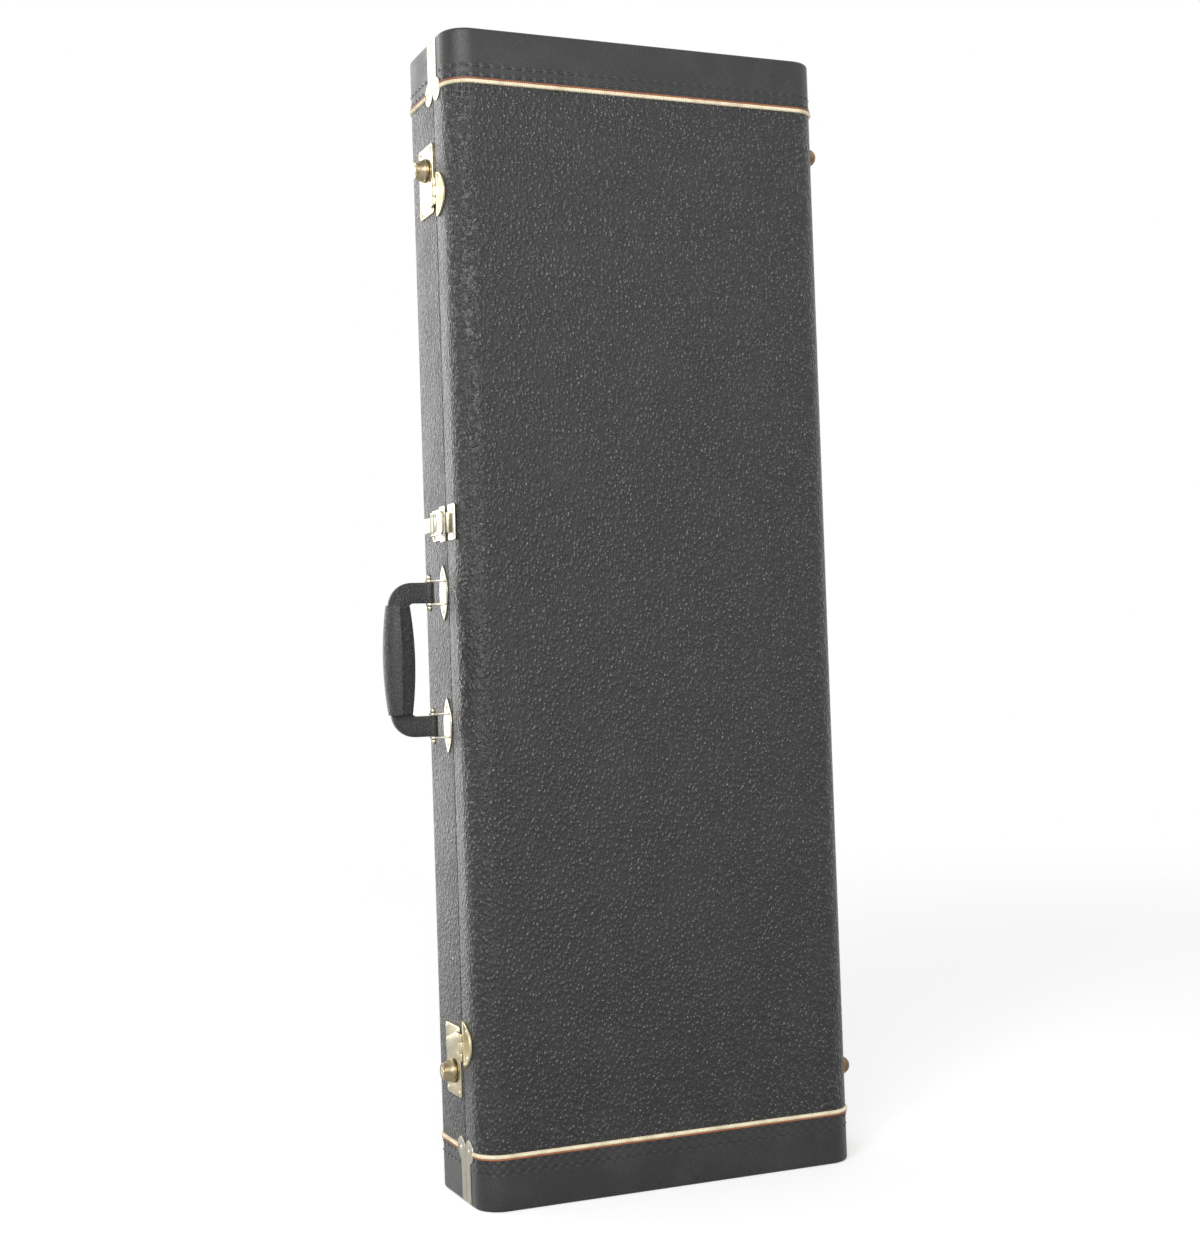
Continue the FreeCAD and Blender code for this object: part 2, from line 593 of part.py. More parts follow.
def latch_base():
    """The stepped plate on the body, with the two ears that hold the lever's pin."""
    near_y = BODY_EDGE_Y + LATCH_BASE_FROM_SEAM
    step_y = near_y + LATCH_BASE_STEP
    far_y = near_y + LATCH_BASE_WIDTH
    near_half = LATCH_BASE_NEAR_HEIGHT / 2
    far_half = LATCH_BASE_FAR_HEIGHT / 2
    plate = box(LATCH_BASE_X, -SIDE_X, near_y, step_y, LATCH_Z - near_half, LATCH_Z + near_half)
    plate = plate.fuse(side_plate(near_y, far_y, LATCH_Z - far_half, LATCH_Z + far_half,
                                  LATCH_BASE_THICKNESS, 2.0))
    for low, high in both_sides(EAR_INNER, EAR_OUTER):
        post = box(LATCH_PIVOT_X, -SIDE_X, LATCH_PIVOT_Y - LATCH_EAR_RADIUS,
                   LATCH_PIVOT_Y + LATCH_EAR_RADIUS, low, high)
        eye = upright_cylinder(LATCH_EAR_RADIUS, LATCH_PIVOT_X, LATCH_PIVOT_Y, low, high)
        plate = plate.fuse([post, eye])
    bore = upright_cylinder(LATCH_PIN_RADIUS + HINGE_FIXED_CLEARANCE, LATCH_PIVOT_X, LATCH_PIVOT_Y,
                            LATCH_Z - 2 * ARM_OUTER, LATCH_Z + 2 * ARM_OUTER)
    return plate.cut(bore).removeSplitter()


def latch_lever():
    """The thumb lever: a knuckle on the base's pin, a flat arm and a turned-up tip."""
    low = LATCH_Z - LEVER_HALF
    high = LATCH_Z + LEVER_HALF
    outer_x = LATCH_PIVOT_X - LATCH_LEVER_KNUCKLE
    arm = box(outer_x, outer_x + LATCH_LEVER_THICKNESS, LATCH_PIVOT_Y,
              LATCH_PIVOT_Y + LATCH_LEVER_REACH, low, high)
    tip_y = LATCH_PIVOT_Y + LATCH_LEVER_REACH
    tips = [e for e in arm.Edges if e.BoundBox.XLength > 1 and e.BoundBox.YMin > tip_y - 1e-3]
    arm = arm.makeFillet(3.0, tips)
    knuckle = upright_cylinder(LATCH_LEVER_KNUCKLE, LATCH_PIVOT_X, LATCH_PIVOT_Y, low, high)
    boss = upright_cylinder(LATCH_PIN_RADIUS + 1.0, CLAW_PIVOT_X, CLAW_PIVOT_Y, low, high)
    lever = arm.fuse([knuckle, boss])
    span = 2 * ARM_OUTER
    pivot = upright_cylinder(LATCH_PIN_RADIUS + RUNNING_CLEARANCE, LATCH_PIVOT_X, LATCH_PIVOT_Y,
                             LATCH_Z - span, LATCH_Z + span)
    link = upright_cylinder(LATCH_PIN_RADIUS + HINGE_FIXED_CLEARANCE, CLAW_PIVOT_X, CLAW_PIVOT_Y,
                            LATCH_Z - span, LATCH_Z + span)
    return lever.cut(pivot).cut(link).removeSplitter()


def latch_lever_pin():
    """The pin in the base's ears that the lever turns on."""
    return upright_cylinder(LATCH_PIN_RADIUS, LATCH_PIVOT_X, LATCH_PIVOT_Y,
                            LATCH_Z - EAR_OUTER, LATCH_Z + EAR_OUTER)


def latch_claw_pin():
    """The pin in the lever that the claw's arms turn on."""
    return upright_cylinder(LATCH_PIN_RADIUS, CLAW_PIVOT_X, CLAW_PIVOT_Y,
                            LATCH_Z - ARM_OUTER, LATCH_Z + ARM_OUTER)


def latch_claw():
    """The claw: two arms beside the lever and a web that reaches over the seam to the strike."""
    low = LATCH_Z - ARM_OUTER
    high = LATCH_Z + ARM_OUTER
    web_y = CLAW_PIVOT_Y - CLAW_WEB_FROM_PIVOT
    tip_y = CLAW_PIVOT_Y - CLAW_LENGTH
    outer_x = CLAW_PIVOT_X - CLAW_ARM_HEIGHT / 2
    web = box(outer_x, outer_x + CLAW_THICKNESS, tip_y, web_y, low, high)
    tips = [e for e in web.Edges if e.BoundBox.XLength > 1 and e.BoundBox.YMax < tip_y + 1e-3]
    claw = web.makeFillet(3.0, tips)
    hollow = Part.makeCylinder(ARM_INNER, 3 * CLAW_THICKNESS, Vector(0, 0, 0), Vector(1, 0, 0))
    squeeze = FreeCAD.Matrix()
    squeeze.scale(1, 0.35, 1)
    hollow = hollow.transformGeometry(squeeze)
    hollow.translate(Vector(outer_x - CLAW_THICKNESS, web_y, LATCH_Z))
    claw = claw.cut(hollow)
    for arm_low, arm_high in both_sides(ARM_INNER, ARM_OUTER):
        arm = box(outer_x, outer_x + CLAW_ARM_HEIGHT, web_y - 3, CLAW_PIVOT_Y, arm_low, arm_high)
        eye = upright_cylinder(CLAW_ARM_HEIGHT / 2, CLAW_PIVOT_X, CLAW_PIVOT_Y, arm_low, arm_high)
        claw = claw.fuse([arm, eye])
    bore = upright_cylinder(LATCH_PIN_RADIUS + RUNNING_CLEARANCE, CLAW_PIVOT_X, CLAW_PIVOT_Y,
                            low - CLAW_THICKNESS, high + CLAW_THICKNESS)
    return claw.cut(bore).removeSplitter()


def latch_strike():
    """The strike plate on the lid, with the low bar that the claw closes over."""
    high_y = LID_EDGE_Y - (STRIKE_FROM_SEAM - SEAM_GAP / 2)
    half = STRIKE_LENGTH / 2
    plate = side_plate(high_y - STRIKE_WIDTH, high_y, LATCH_Z - half, LATCH_Z + half, STRIKE_THICKNESS, 1.5)
    surface = -SIDE_X - STRIKE_THICKNESS
    bar = box(surface - STRIKE_BAR_STAND, surface, high_y - STRIKE_BAR_WIDTH, high_y,
              LATCH_Z - ARM_INNER, LATCH_Z + ARM_INNER)
    return plate.fuse(bar).removeSplitter()


def latch_nails():
    """The nails in the latch's base."""
    near_y = BODY_EDGE_Y + LATCH_BASE_FROM_SEAM
    y_values = (near_y + NAIL_INSET - 1.0, near_y + LATCH_BASE_WIDTH - NAIL_INSET)
    offset = LATCH_BASE_FAR_HEIGHT / 2 - NAIL_INSET + 1.0
    return [nail(LATCH_BASE_X, y, LATCH_Z + side * offset, -1) for y in y_values for side in (-1, 1)]


def strike_nails():
    """The nails in the strike plate."""
    y = SEAM_Y - STRIKE_FROM_SEAM - STRIKE_WIDTH + NAIL_INSET
    offset = STRIKE_LENGTH / 2 - NAIL_INSET
    surface = -SIDE_X - STRIKE_THICKNESS
    return [nail(surface, y, LATCH_Z + side * offset, -1) for side in (-1, 1)]


# ---- Carrying handle -----------------------------------------------------------------------------------
HANDLE_Y = SEAM_Y + HANDLE_FROM_SEAM
HANDLE_PIN_X = -SIDE_X - HANDLE_PIN_OUT
GRIP_X = -SIDE_X - GRIP_OUT
HANDLE_EAR_GAP = STRAP_WIDTH + 2 * HANDLE_EAR_CLEARANCE
HANDLE_LOW_Z = HANDLE_Z - HANDLE_PIN_SPACING / 2
HANDLE_HIGH_Z = HANDLE_Z + HANDLE_PIN_SPACING / 2


def handle_mount(centre_z):
    """A pointed oval plate with two ears for the handle's pin."""
    half_length = HANDLE_PLATE_LENGTH / 2
    half_width = HANDLE_PLATE_WIDTH / 2
    arc_radius = (half_length ** 2 + half_width ** 2) / (2 * half_width)
    surface = -SIDE_X - HANDLE_PLATE_THICKNESS
    shift = arc_radius - half_width
    near_arc = side_cylinder(arc_radius, surface, -SIDE_X, HANDLE_Y - shift, centre_z)
    far_arc = side_cylinder(arc_radius, surface, -SIDE_X, HANDLE_Y + shift, centre_z)
    plate = near_arc.common(far_arc)
    ear_half = HANDLE_EAR_WIDTH / 2
    for side in (-1, 1):
        near, far = HANDLE_EAR_GAP / 2, HANDLE_EAR_GAP / 2 + HANDLE_EAR_THICKNESS
        low, high = sorted((centre_z + side * near, centre_z + side * far))
        ear = box(HANDLE_PIN_X, -SIDE_X, HANDLE_Y - ear_half, HANDLE_Y + ear_half, low, high)
        plate = plate.fuse([ear, upright_cylinder(ear_half, HANDLE_PIN_X, HANDLE_Y, low, high)])
    bore = upright_cylinder(HANDLE_PIN_RADIUS + HINGE_FIXED_CLEARANCE, HANDLE_PIN_X, HANDLE_Y,
                            centre_z - HANDLE_EAR_GAP, centre_z + HANDLE_EAR_GAP)
    return plate.cut(bore).removeSplitter()


def handle_pins():
    """The two ball-ended pins that the handle swings on."""
    pins = []
    reach = HANDLE_EAR_GAP / 2 + HANDLE_EAR_THICKNESS
    ball_reach = reach + math.sqrt(HANDLE_PIN_BALL_RADIUS ** 2 - HANDLE_PIN_RADIUS ** 2)
    for centre_z in (HANDLE_LOW_Z, HANDLE_HIGH_Z):
        pin = upright_cylinder(HANDLE_PIN_RADIUS, HANDLE_PIN_X, HANDLE_Y,
                               centre_z - ball_reach, centre_z + ball_reach)
        for side in (-1, 1):
            ball = Part.makeSphere(HANDLE_PIN_BALL_RADIUS,
                                   Vector(HANDLE_PIN_X, HANDLE_Y, centre_z + side * ball_reach))
            low, high = sorted((centre_z + side * reach, centre_z + side * (reach + 10)))
            keep = box(-FAR, FAR, -FAR, FAR, low, high)
            pin = pin.fuse(ball.common(keep))
        pins.append(pin.removeSplitter())
    return Part.makeCompound(pins)


def handle_strap():
    """The flat C-shaped leather strap with a loop round each pin."""
    half_strap = STRAP_WIDTH / 2
    half_thick = STRAP_THICKNESS / 2
    outer_x = GRIP_X - half_strap
    y_low, y_high = HANDLE_Y - half_thick, HANDLE_Y + half_thick
    outside = box(outer_x, HANDLE_PIN_X, y_low, y_high,
                  HANDLE_LOW_Z - half_strap, HANDLE_HIGH_Z + half_strap)
    corners = [e for e in outside.Edges if e.BoundBox.YLength > 1 and e.BoundBox.XMax < outer_x + 1e-3]
    outside = outside.makeFillet(STRAP_CORNER_RADIUS, corners)
    inner_x = GRIP_X + half_strap
    inside = box(inner_x, HANDLE_PIN_X + 1, y_low - 1, y_high + 1,
                 HANDLE_LOW_Z + half_strap, HANDLE_HIGH_Z - half_strap)
    corners = [e for e in inside.Edges if e.BoundBox.YLength > 1 and e.BoundBox.XMax < inner_x + 1e-3]
    strap = outside.cut(inside.makeFillet(STRAP_INNER_RADIUS, corners))
    for centre_z in (HANDLE_LOW_Z, HANDLE_HIGH_Z):
        strap = strap.fuse(upright_cylinder(STRAP_LOOP_RADIUS, HANDLE_PIN_X, HANDLE_Y,
                                            centre_z - half_strap, centre_z + half_strap))
    bore = upright_cylinder(HANDLE_PIN_RADIUS + HANDLE_PIN_CLEARANCE, HANDLE_PIN_X, HANDLE_Y,
                            HANDLE_LOW_Z - STRAP_WIDTH, HANDLE_HIGH_Z + STRAP_WIDTH)
    return strap.cut(bore).removeSplitter()


def handle_grip():
    """The padded barrel sewn round the middle of the strap."""
    half = GRIP_LENGTH / 2
    low = Vector(GRIP_X + GRIP_END_RADIUS, HANDLE_Y, HANDLE_Z - half)
    middle = Vector(GRIP_X + GRIP_RADIUS, HANDLE_Y, HANDLE_Z)
    high = Vector(GRIP_X + GRIP_END_RADIUS, HANDLE_Y, HANDLE_Z + half)
    low_axis = Vector(GRIP_X, HANDLE_Y, low.z)
    high_axis = Vector(GRIP_X, HANDLE_Y, high.z)
    edges = [Part.Arc(low, middle, high).toShape(), Part.makeLine(high, high_axis),
             Part.makeLine(high_axis, low_axis), Part.makeLine(low_axis, low)]
    barrel = Part.Face(Part.Wire(edges)).revolve(low_axis, Vector(0, 0, 1), 360)
    half_strap = STRAP_WIDTH / 2
    half_thick = STRAP_THICKNESS / 2
    core = box(GRIP_X - half_strap, GRIP_X + half_strap, HANDLE_Y - half_thick, HANDLE_Y + half_thick,
               low.z - 1, high.z + 1)
    return barrel.cut(core)


def handle_nails():
    """The nail near each pointed end of the handle's two plates."""
    offset = HANDLE_PLATE_LENGTH / 2 - 2 * NAIL_INSET
    surface = -SIDE_X - HANDLE_PLATE_THICKNESS
    return [nail(surface, HANDLE_Y, centre_z + side * offset, -1)
            for centre_z in (HANDLE_LOW_Z, HANDLE_HIGH_Z) for side in (-1, 1)]


# ---- Feet ----------------------------------------------------------------------------------------------
def feet(half):
    """The two domed feet that one half of the case has on its hinge side."""
    y = BACK_Y - FOOT_FROM_FACE if half == BODY else FRONT_Y + FOOT_FROM_FACE
    sphere_radius = (FOOT_RADIUS ** 2 + FOOT_HEIGHT ** 2) / (2 * FOOT_HEIGHT)
    domes = []
    for z in (FOOT_FROM_END, CASE_LENGTH - FOOT_FROM_END):
        dome = Part.makeSphere(sphere_radius, Vector(SIDE_X + FOOT_HEIGHT - sphere_radius, y, z))
        dome = dome.common(box(SIDE_X, FAR, -FAR, FAR, -FAR, FAR))
        skirt = side_cylinder(FOOT_RADIUS, SIDE_X - EDGE_RADIUS / 2, SIDE_X, y, z)
        domes.append(dome.fuse(skirt).removeSplitter().cut(case_prism(0, z - EDGE_RADIUS, z + EDGE_RADIUS)))
    return Part.makeCompound(domes)


# ---- Padded interior -----------------------------------------------------------------------------------
INSIDE_OFFSET = -COVERING - PLY - LINING - PAD_CLEARANCE
INSIDE_X = SIDE_X + INSIDE_OFFSET
INSIDE_LOW_Z = CAP_LEATHER + PLY + LINING + PAD_CLEARANCE
INSIDE_HIGH_Z = CASE_LENGTH - INSIDE_LOW_Z
BED_Y = BACK_Y + INSIDE_OFFSET - BACK_PAD_THICKNESS
PAD_REST_Y = BED_Y - PAD_CLEARANCE
COMPARTMENT_TOP_Y = PAD_REST_Y - COMPARTMENT_DEPTH
FLAP_HIGH_Y = COMPARTMENT_TOP_Y - COMPARTMENT_LID_GAP
FLAP_LOW_Y = FLAP_HIGH_Y - COMPARTMENT_LID_THICKNESS
FLAP_HIGH_X = -INSIDE_X + COMPARTMENT_WIDTH + COMPARTMENT_WALL
FLAP_ROLL_RADIUS = COMPARTMENT_LID_THICKNESS / 2
COMPARTMENT_HINGE_X = -INSIDE_X + COMPARTMENT_WALL + FLAP_ROLL_RADIUS
COMPARTMENT_HINGE_Y = FLAP_LOW_Y + FLAP_ROLL_RADIUS


def inside_space():
    """The room inside the linings, with its rounded corners."""
    return case_prism(INSIDE_OFFSET, INSIDE_LOW_Z, INSIDE_HIGH_Z)


def back_pad():
    """The flat pad on the body's back wall."""
    return inside_space().common(box(-FAR, FAR, BED_Y, FAR, -FAR, FAR))


def body_surround():
    """The padded wall round the guitar's body, with a slot for the neck."""
    top_y = SEAM_Y + SURROUND_BELOW_SEAM
    high_z = INSIDE_LOW_Z + SURROUND_LENGTH
    block = box(-INSIDE_X, INSIDE_X, top_y, PAD_REST_Y, INSIDE_LOW_Z, high_z)
    lower_radius = INSIDE_X - SURROUND_WALL
    upper_radius = lower_radius - BOUT_STEP
    lower_z = INSIDE_LOW_Z + SURROUND_WALL + lower_radius
    upper_z = lower_z + BOUT_SPACING
    depth = PAD_REST_Y - top_y + 2
    start = Vector(0, top_y - 1, lower_z)
    cavity = Part.makeCylinder(lower_radius, depth, start, Vector(0, 1, 0))
    upper = Part.makeCylinder(upper_radius, depth, Vector(0, top_y - 1, upper_z), Vector(0, 1, 0))
    waist = upper_radius - SURROUND_WALL / 2
    middle = box(-waist, waist, top_y - 1, PAD_REST_Y + 1, lower_z, upper_z)
    slot = box(-NECK_SLOT_HALF_WIDTH, NECK_SLOT_HALF_WIDTH, top_y - 1, PAD_REST_Y + 1, upper_z, high_z + 1)
    return block.cut(cavity.fuse([upper, middle, slot])).common(inside_space())


def neck_rest():
    """The padded block with a U-shaped notch that holds up the guitar's neck."""
    top_y = SEAM_Y + NECK_REST_BELOW_SEAM
    low = NECK_REST_Z - NECK_REST_LENGTH / 2
    high = NECK_REST_Z + NECK_REST_LENGTH / 2
    block = box(-NECK_REST_HALF_WIDTH, NECK_REST_HALF_WIDTH, top_y, PAD_REST_Y, low, high)
    centre_y = top_y + NECK_NOTCH_DEPTH - NECK_NOTCH_RADIUS
    notch = box(-NECK_NOTCH_RADIUS, NECK_NOTCH_RADIUS, top_y - 1, centre_y, low - 1, high + 1)
    return block.cut(notch.fuse(upright_cylinder(NECK_NOTCH_RADIUS, 0, centre_y, low - 1, high + 1)))


def compartment_box():
    """The open box for strings and picks, beside the neck."""
    x_high = -INSIDE_X + COMPARTMENT_WIDTH + 2 * COMPARTMENT_WALL
    high = COMPARTMENT_Z + COMPARTMENT_LENGTH
    outside = box(-INSIDE_X, x_high, COMPARTMENT_TOP_Y, PAD_REST_Y, COMPARTMENT_Z, high)
    wall = COMPARTMENT_WALL
    inside = box(-INSIDE_X + wall, x_high - wall, COMPARTMENT_TOP_Y - 1, PAD_REST_Y - wall,
                 COMPARTMENT_Z + wall, high - wall)
    return outside.cut(inside).common(inside_space())


def compartment_lid():
    """The flap over the compartment; the roll along its hinged edge is the fold it turns on."""
    high = COMPARTMENT_Z + COMPARTMENT_LENGTH
    flap = box(COMPARTMENT_HINGE_X, FLAP_HIGH_X, FLAP_LOW_Y, FLAP_HIGH_Y, COMPARTMENT_Z, high)
    roll = upright_cylinder(FLAP_ROLL_RADIUS, COMPARTMENT_HINGE_X, COMPARTMENT_HINGE_Y, COMPARTMENT_Z, high)
    return flap.fuse(roll).removeSplitter()


def pull_tab():
    """The short leather tab on the flap's free edge."""
    middle = COMPARTMENT_Z + COMPARTMENT_LENGTH / 2
    return box(FLAP_HIGH_X - PULL_TAB_LENGTH, FLAP_HIGH_X, FLAP_LOW_Y - PULL_TAB_THICKNESS, FLAP_LOW_Y,
               middle - PULL_TAB_WIDTH / 2, middle + PULL_TAB_WIDTH / 2)


def lid_pad():
    """The thin pad inside the lid's large face."""
    offset = INSIDE_OFFSET - LID_PAD_INSET
    low_z, high_z = INSIDE_LOW_Z + LID_PAD_INSET, INSIDE_HIGH_Z - LID_PAD_INSET
    pad = case_prism(INSIDE_OFFSET, low_z, high_z)
    face_y = FRONT_Y - INSIDE_OFFSET
    half = SIDE_X + offset
    return pad.common(box(-half, half, face_y, face_y + LID_PAD_THICKNESS, -FAR, FAR))


# ---- The whole case ------------------------------------------------------------------------------------
def build_halves():
    """Both halves of the shell, with their skins, caps, piping, bands, feet and hinge leaves."""
    for half in (BODY, LID):
        save(half + "_wrap", wrap(half))
        save(half + "_covering", covering(half))
        save(half + "_lining", lining(half))
        for place, moved in (("bottom", lambda shape: shape), ("top", turned_end)):
            save(half + "_end_panel_" + place, moved(end_panel(half)))
            save(half + "_cap_" + place, moved(cap(half)))
            save(half + "_band_" + place, moved(band(half)))
        save(half + "_piping", Part.makeCompound([piping(half), turned_end(piping(half))]))
        save(half + "_feet", feet(half))
        for place, centre_z in zip(("lower", "middle", "upper"), HINGE_HEIGHTS):
            save(place + "_hinge_" + half + "_leaf", hinge_leaf(half, centre_z))
    save("hinge_pins", hinge_pins())


def build_locks():
    """The two key locks with their hasps."""
    for place, moved in (("lower", lambda shape: shape), ("upper", turned_end)):
        save(place + "_lock_plate", moved(lock_plate()))
        save(place + "_lock_knob", moved(lock_knob()))
        save(place + "_key_cylinder", moved(lock_cylinder()))
        save(place + "_hasp", moved(hasp()))
        save(place + "_hasp_plate", moved(hasp_plate()))
    save("hasp_pins", Part.makeCompound([hasp_pin(), turned_end(hasp_pin())]))


def build_latch():
    """The draw latch in the middle."""
    save("latch_base", latch_base())
    save("latch_lever", latch_lever())
    save("latch_lever_pin", latch_lever_pin())
    save("latch_claw", latch_claw())
    save("latch_claw_pin", latch_claw_pin())
    save("latch_strike", latch_strike())


def build_handle():
    """The carrying handle and its two mounts."""
    save("lower_handle_mount", handle_mount(HANDLE_LOW_Z))
    save("upper_handle_mount", handle_mount(HANDLE_HIGH_Z))
    save("handle_pins", handle_pins())
    save("handle_strap", handle_strap())
    save("handle_grip", handle_grip())


def build_nails():
    """All the nails: one group in the body and one in the lid."""
    body_ends = end_nails(BODY) + lock_nails()
    lid_ends = end_nails(LID) + hasp_plate_nails()
    body_nails = body_ends + [turned_end(one) for one in body_ends]
    body_nails += hinge_nails(BODY) + latch_nails() + handle_nails()
    lid_nails = lid_ends + [turned_end(one) for one in lid_ends] + hinge_nails(LID) + strike_nails()
    save("body_nails", Part.makeCompound(body_nails))
    save("lid_nails", Part.makeCompound(lid_nails))


def build_interior():
    """The pads, the neck rest and the compartment."""
    save("back_pad", back_pad())
    save("body_surround", body_surround())
    save("neck_rest", neck_rest())
    save("compartment_box", compartment_box())
    save("compartment_lid", compartment_lid())
    save("pull_tab", pull_tab())
    save("lid_pad", lid_pad())


os.makedirs("parts", exist_ok=True)
build_halves()
build_locks()
build_latch()
build_handle()
build_nails()
build_interior()
print(len(finished), "nodes")
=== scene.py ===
"""A hard guitar case: grained skins, sewn end caps, piping, locks, draw latch, handle, feet and plush."""
import json
import logging
import math
from dataclasses import dataclass
from enum import Enum
from typing import Callable, Iterable

import bmesh
import bpy
from mathutils import Matrix, Vector, noise

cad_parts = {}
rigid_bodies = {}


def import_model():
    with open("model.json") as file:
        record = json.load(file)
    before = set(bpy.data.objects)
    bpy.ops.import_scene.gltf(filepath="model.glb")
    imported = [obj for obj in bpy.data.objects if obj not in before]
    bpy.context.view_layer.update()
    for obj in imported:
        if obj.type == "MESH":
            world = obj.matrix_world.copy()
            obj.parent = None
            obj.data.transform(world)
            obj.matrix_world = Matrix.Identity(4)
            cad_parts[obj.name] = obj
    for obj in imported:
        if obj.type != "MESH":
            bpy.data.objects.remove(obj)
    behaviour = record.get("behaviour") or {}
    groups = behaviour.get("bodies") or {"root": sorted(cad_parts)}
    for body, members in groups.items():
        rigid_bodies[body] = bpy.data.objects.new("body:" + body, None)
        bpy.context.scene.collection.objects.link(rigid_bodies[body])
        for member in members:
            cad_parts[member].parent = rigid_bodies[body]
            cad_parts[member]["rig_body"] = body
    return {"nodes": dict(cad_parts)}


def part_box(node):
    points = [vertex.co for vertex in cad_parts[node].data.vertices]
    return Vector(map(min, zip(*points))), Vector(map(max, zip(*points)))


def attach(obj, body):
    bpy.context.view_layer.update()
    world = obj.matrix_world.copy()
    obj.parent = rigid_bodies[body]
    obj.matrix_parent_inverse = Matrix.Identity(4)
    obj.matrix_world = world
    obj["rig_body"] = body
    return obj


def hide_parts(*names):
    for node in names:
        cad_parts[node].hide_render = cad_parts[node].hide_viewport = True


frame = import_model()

logging.basicConfig(level=logging.INFO, format="%(message)s")
log = logging.getLogger("guitar_case")

# ---- Sizes of the sewn and turned work, in metres --------
MM = 0.001
EDGE_RADIUS = 24 * MM
SKIN = 1.2 * MM
PLY = 5 * MM
RIM_ROUND = 0.9 * MM
CAP_HEIGHT = 46 * MM
CAP_END_ROUND = 3 * MM
BAND_WIDTH = 11.2 * MM
BAND_LET_IN = 0.85 * MM
BEAD_RADIUS = 2.0 * MM
BEAD_PITCH = 1.8 * MM
BEAD_STEPS = 4
EAR_WIDTH = 20.4 * MM
STITCH_PITCH = 10 * MM
STITCH_ROWS = (4.2 * MM, 12.4 * MM)
SHARP = math.radians(38)
SAME_PLACE = 2e-6
STITCH_HALF = (3.5 * MM, 0.75 * MM, 0.55 * MM)
STRAP_STITCH_HALF = (1.25 * MM, 0.4 * MM, 0.3 * MM)
DUST_COLOR = (0.42, 0.41, 0.38, 1)


class Half(Enum):
    """The two halves of the case, split at the seam."""

    BODY = "body"
    LID = "lid"


class End(Enum):
    """The two ends of the case."""

    BOTTOM = "bottom"
    TOP = "top"


# ---- Shader building --------
class Bench:
    """A place to lay shader nodes in one tree and join them."""

    def __init__(self, tree: bpy.types.NodeTree) -> None:
        """Take the tree to work in."""
        self.tree = tree

    def put(self, kind: str, settings: dict | None = None, **inputs) -> bpy.types.Node:
        """Add a node.

        Args:
            kind: the node's type name.
            settings: properties to set on the node.
            inputs: socket values or sockets to join; an underscore stands for a space, and in_0 for the
                first socket.
        Returns:
            The new node.
        """
        node = self.tree.nodes.new(kind)
        for name, value in (settings or {}).items():
            setattr(node, name, value)
        for name, value in inputs.items():
            label = int(name[3:]) if name.startswith("in_") else name.replace("_", " ")
            socket = node.inputs[label]
            if isinstance(value, bpy.types.NodeSocket):
                self.tree.links.new(value, socket)
            else:
                socket.default_value = value
        return node

    def math(self, operation: str, first, second=0.0) -> bpy.types.NodeSocket:
        """One arithmetic step on two values or sockets."""
        return self.put("ShaderNodeMath", {"operation": operation}, in_0=first, in_1=second).outputs[0]

    def mix(self, factor, first, second) -> bpy.types.NodeSocket:
        """Blend two colours by a factor."""
        node = self.put("ShaderNodeMix", {"data_type": "RGBA"}, in_0=factor, in_6=first, in_7=second)
        return node.outputs[2]

    def ramp(self, value, low: float, high: float, to_low: float = 0.0,
             to_high: float = 1.0) -> bpy.types.NodeSocket:
        """Map a value from one range to another with smooth ends."""
        node = self.put("ShaderNodeMapRange", {"interpolation_type": "SMOOTHSTEP"}, Value=value,
                        From_Min=low, From_Max=high, To_Min=to_low, To_Max=to_high)
        return node.outputs[0]

    def stretched(self, vector, scale: tuple[float, float, float]) -> bpy.types.NodeSocket:
        """Scale the coordinates along each axis."""
        return self.put("ShaderNodeMapping", Vector=vector, Scale=scale).outputs[0]


def build_group(name: str, inputs: dict[str, str], outputs: dict[str, str],
                fill: Callable) -> bpy.types.NodeTree:
    """Make a shader node group.

    Args:
        name: the group's name.
        inputs: input names with their socket types.
        outputs: output names with their socket types.
        fill: lays the nodes; it takes the bench and the input sockets, and returns the output sockets.
    Returns:
        The group's tree.
    """
    tree = bpy.data.node_groups.new(name, "ShaderNodeTree")
    for label, kind in inputs.items():
        tree.interface.new_socket(label, in_out="INPUT", socket_type=kind)
    for label, kind in outputs.items():
        tree.interface.new_socket(label, in_out="OUTPUT", socket_type=kind)
    bench = Bench(tree)
    entry = tree.nodes.new("NodeGroupInput")
    leave = tree.nodes.new("NodeGroupOutput")
    made = fill(bench, {label: entry.outputs[label] for label in inputs})
    for label, socket in made.items():
        tree.links.new(socket, leave.inputs[label])
    return tree


def pebble_nodes(bench: Bench, given: dict) -> dict:
    """Rounded pebbles with creases between them, in two sizes."""
    drift = bench.put("ShaderNodeTexNoise", Vector=given["Vector"], Scale=given["Cells"], Detail=1.0)
    wander = 1.6 * MM
    bend = bench.put("ShaderNodeVectorMath", {"operation": "SCALE"}, in_0=drift.outputs["Color"],
                     Scale=wander)
    moved = bench.put("ShaderNodeVectorMath", {"operation": "ADD"}, in_0=given["Vector"],
                      in_1=bend.outputs[0])
    large = bench.put("ShaderNodeTexVoronoi", {"feature": "SMOOTH_F1"}, Vector=moved.outputs[0],
                      Scale=given["Cells"], Smoothness=0.35)
    small_scale = bench.math("MULTIPLY", given["Cells"], 2.3)
    small = bench.put("ShaderNodeTexVoronoi", {"feature": "F1"}, Vector=moved.outputs[0], Scale=small_scale)
    dome = bench.ramp(large.outputs["Distance"], 0.62, 0.08)
    fine = bench.math("MULTIPLY", bench.ramp(small.outputs["Distance"], 0.6, 0.1), 0.35)
    height = bench.math("ADD", dome, fine)
    return {"Height": height, "Crease": bench.ramp(dome, 0.45, 0.05)}


